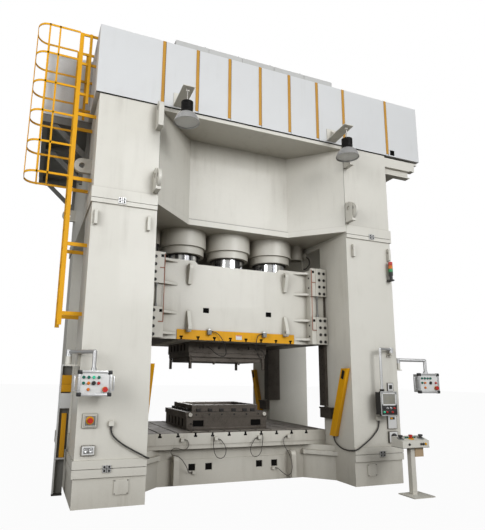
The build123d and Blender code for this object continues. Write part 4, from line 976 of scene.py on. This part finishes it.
def makeFloor():
    # To the camera the floor is almost pure white, and the shadows stay on it
    bpy.ops.mesh.primitive_plane_add(size=studio["floorSize"], location=(0, 20, 0))
    floor = bpy.context.object
    floor.name = "studioFloor"
    material = bpy.data.materials.new("paleFloor")
    material.use_nodes = True
    tree = material.node_tree
    shader = tree.nodes["Principled BSDF"]
    shader.inputs["Base Color"].default_value = studio["floorColour"]
    shader.inputs["Roughness"].default_value = 0.9
    glow = addNode(tree, "ShaderNodeEmission", {"Color": white, "Strength": 1.0})
    path = tree.nodes.new("ShaderNodeLightPath")
    mix = tree.nodes.new("ShaderNodeMixShader")
    part = mathSocket(tree, "MULTIPLY", path.outputs["Is Camera Ray"], studio["floorGlow"])
    tree.links.new(part, mix.inputs[0])
    tree.links.new(shader.outputs[0], mix.inputs[1])
    tree.links.new(glow.outputs[0], mix.inputs[2])
    tree.links.new(mix.outputs[0], tree.nodes["Material Output"].inputs["Surface"])
    floor.data.materials.append(material)


def makeSky():
    # White where it is seen, dimmer as light, and dimmest behind the press
    world = bpy.data.worlds.new("studioSky")
    bpy.context.scene.world = world
    world.use_nodes = True
    tree = world.node_tree
    lit = tree.nodes["Background"]
    lit.inputs["Color"].default_value = studio["skyColour"]
    direction = tree.nodes.new("ShaderNodeSeparateXYZ")
    tree.links.new(tree.nodes.new("ShaderNodeTexCoord").outputs["Generated"], direction.inputs[0])
    strength = rangeSocket(tree, direction.outputs["Y"], -0.9, 0.5, studio["skyFront"], studio["skyBack"])
    tree.links.new(strength, lit.inputs["Strength"])
    seen = addNode(tree, "ShaderNodeBackground", {"Color": white, "Strength": 1.0})
    path = tree.nodes.new("ShaderNodeLightPath")
    blend = tree.nodes.new("ShaderNodeMixShader")
    seenRay = mathSocket(tree, "MAXIMUM", path.outputs["Is Camera Ray"], path.outputs["Is Transmission Ray"])
    tree.links.new(seenRay, blend.inputs[0])
    tree.links.new(lit.outputs[0], blend.inputs[1])
    tree.links.new(seen.outputs[0], blend.inputs[2])
    tree.links.new(blend.outputs[0], tree.nodes["World Output"].inputs["Surface"])


def makeLights():
    for name, facts in studioLamps.items():
        lamp = bpy.data.lights.new(name, "AREA")
        lamp.energy = facts["power"]
        lamp.size = facts["size"]
        holder = bpy.data.objects.new(name, lamp)
        bpy.context.scene.collection.objects.link(holder)
        holder.location = facts["place"]
        aim = Vector(facts["aim"]) - Vector(facts["place"])
        holder.rotation_euler = aim.to_track_quat("-Z", "Y").to_euler()


# The camera as solved from the photograph: angles in radians, place in metres
photoView = dict(yaw=0.3737, pitch=0.2029, roll=0.0154, place=(-3.4368, -8.8286, 1.7330), lens=32.42,
                 shift=(0.0469, 0.0254))


def makeCamera():
    yaw, pitch, roll = photoView["yaw"], photoView["pitch"], photoView["roll"]
    forward = Vector((math.sin(yaw) * math.cos(pitch), math.cos(yaw) * math.cos(pitch), math.sin(pitch)))
    level = Vector((math.cos(yaw), -math.sin(yaw), 0))
    above = level.cross(forward)
    right = level * math.cos(roll) + above * math.sin(roll)
    up = above * math.cos(roll) - level * math.sin(roll)
    data = bpy.data.cameras.new("photoView")
    data.sensor_width = 36
    data.lens = photoView["lens"]
    data.shift_x, data.shift_y = photoView["shift"]
    data.clip_end = 200
    camera = bpy.data.objects.new("photoView", data)
    bpy.context.scene.collection.objects.link(camera)
    turn = Matrix((right, up, -forward)).transposed().to_4x4()
    camera.matrix_world = Matrix.Translation(Vector(photoView["place"])) @ turn
    bpy.context.scene.camera = camera


makeFloor()
makeSky()
makeLights()
makeCamera()
bpy.context.scene.view_settings.view_transform = "Standard"
print("studio and camera set")
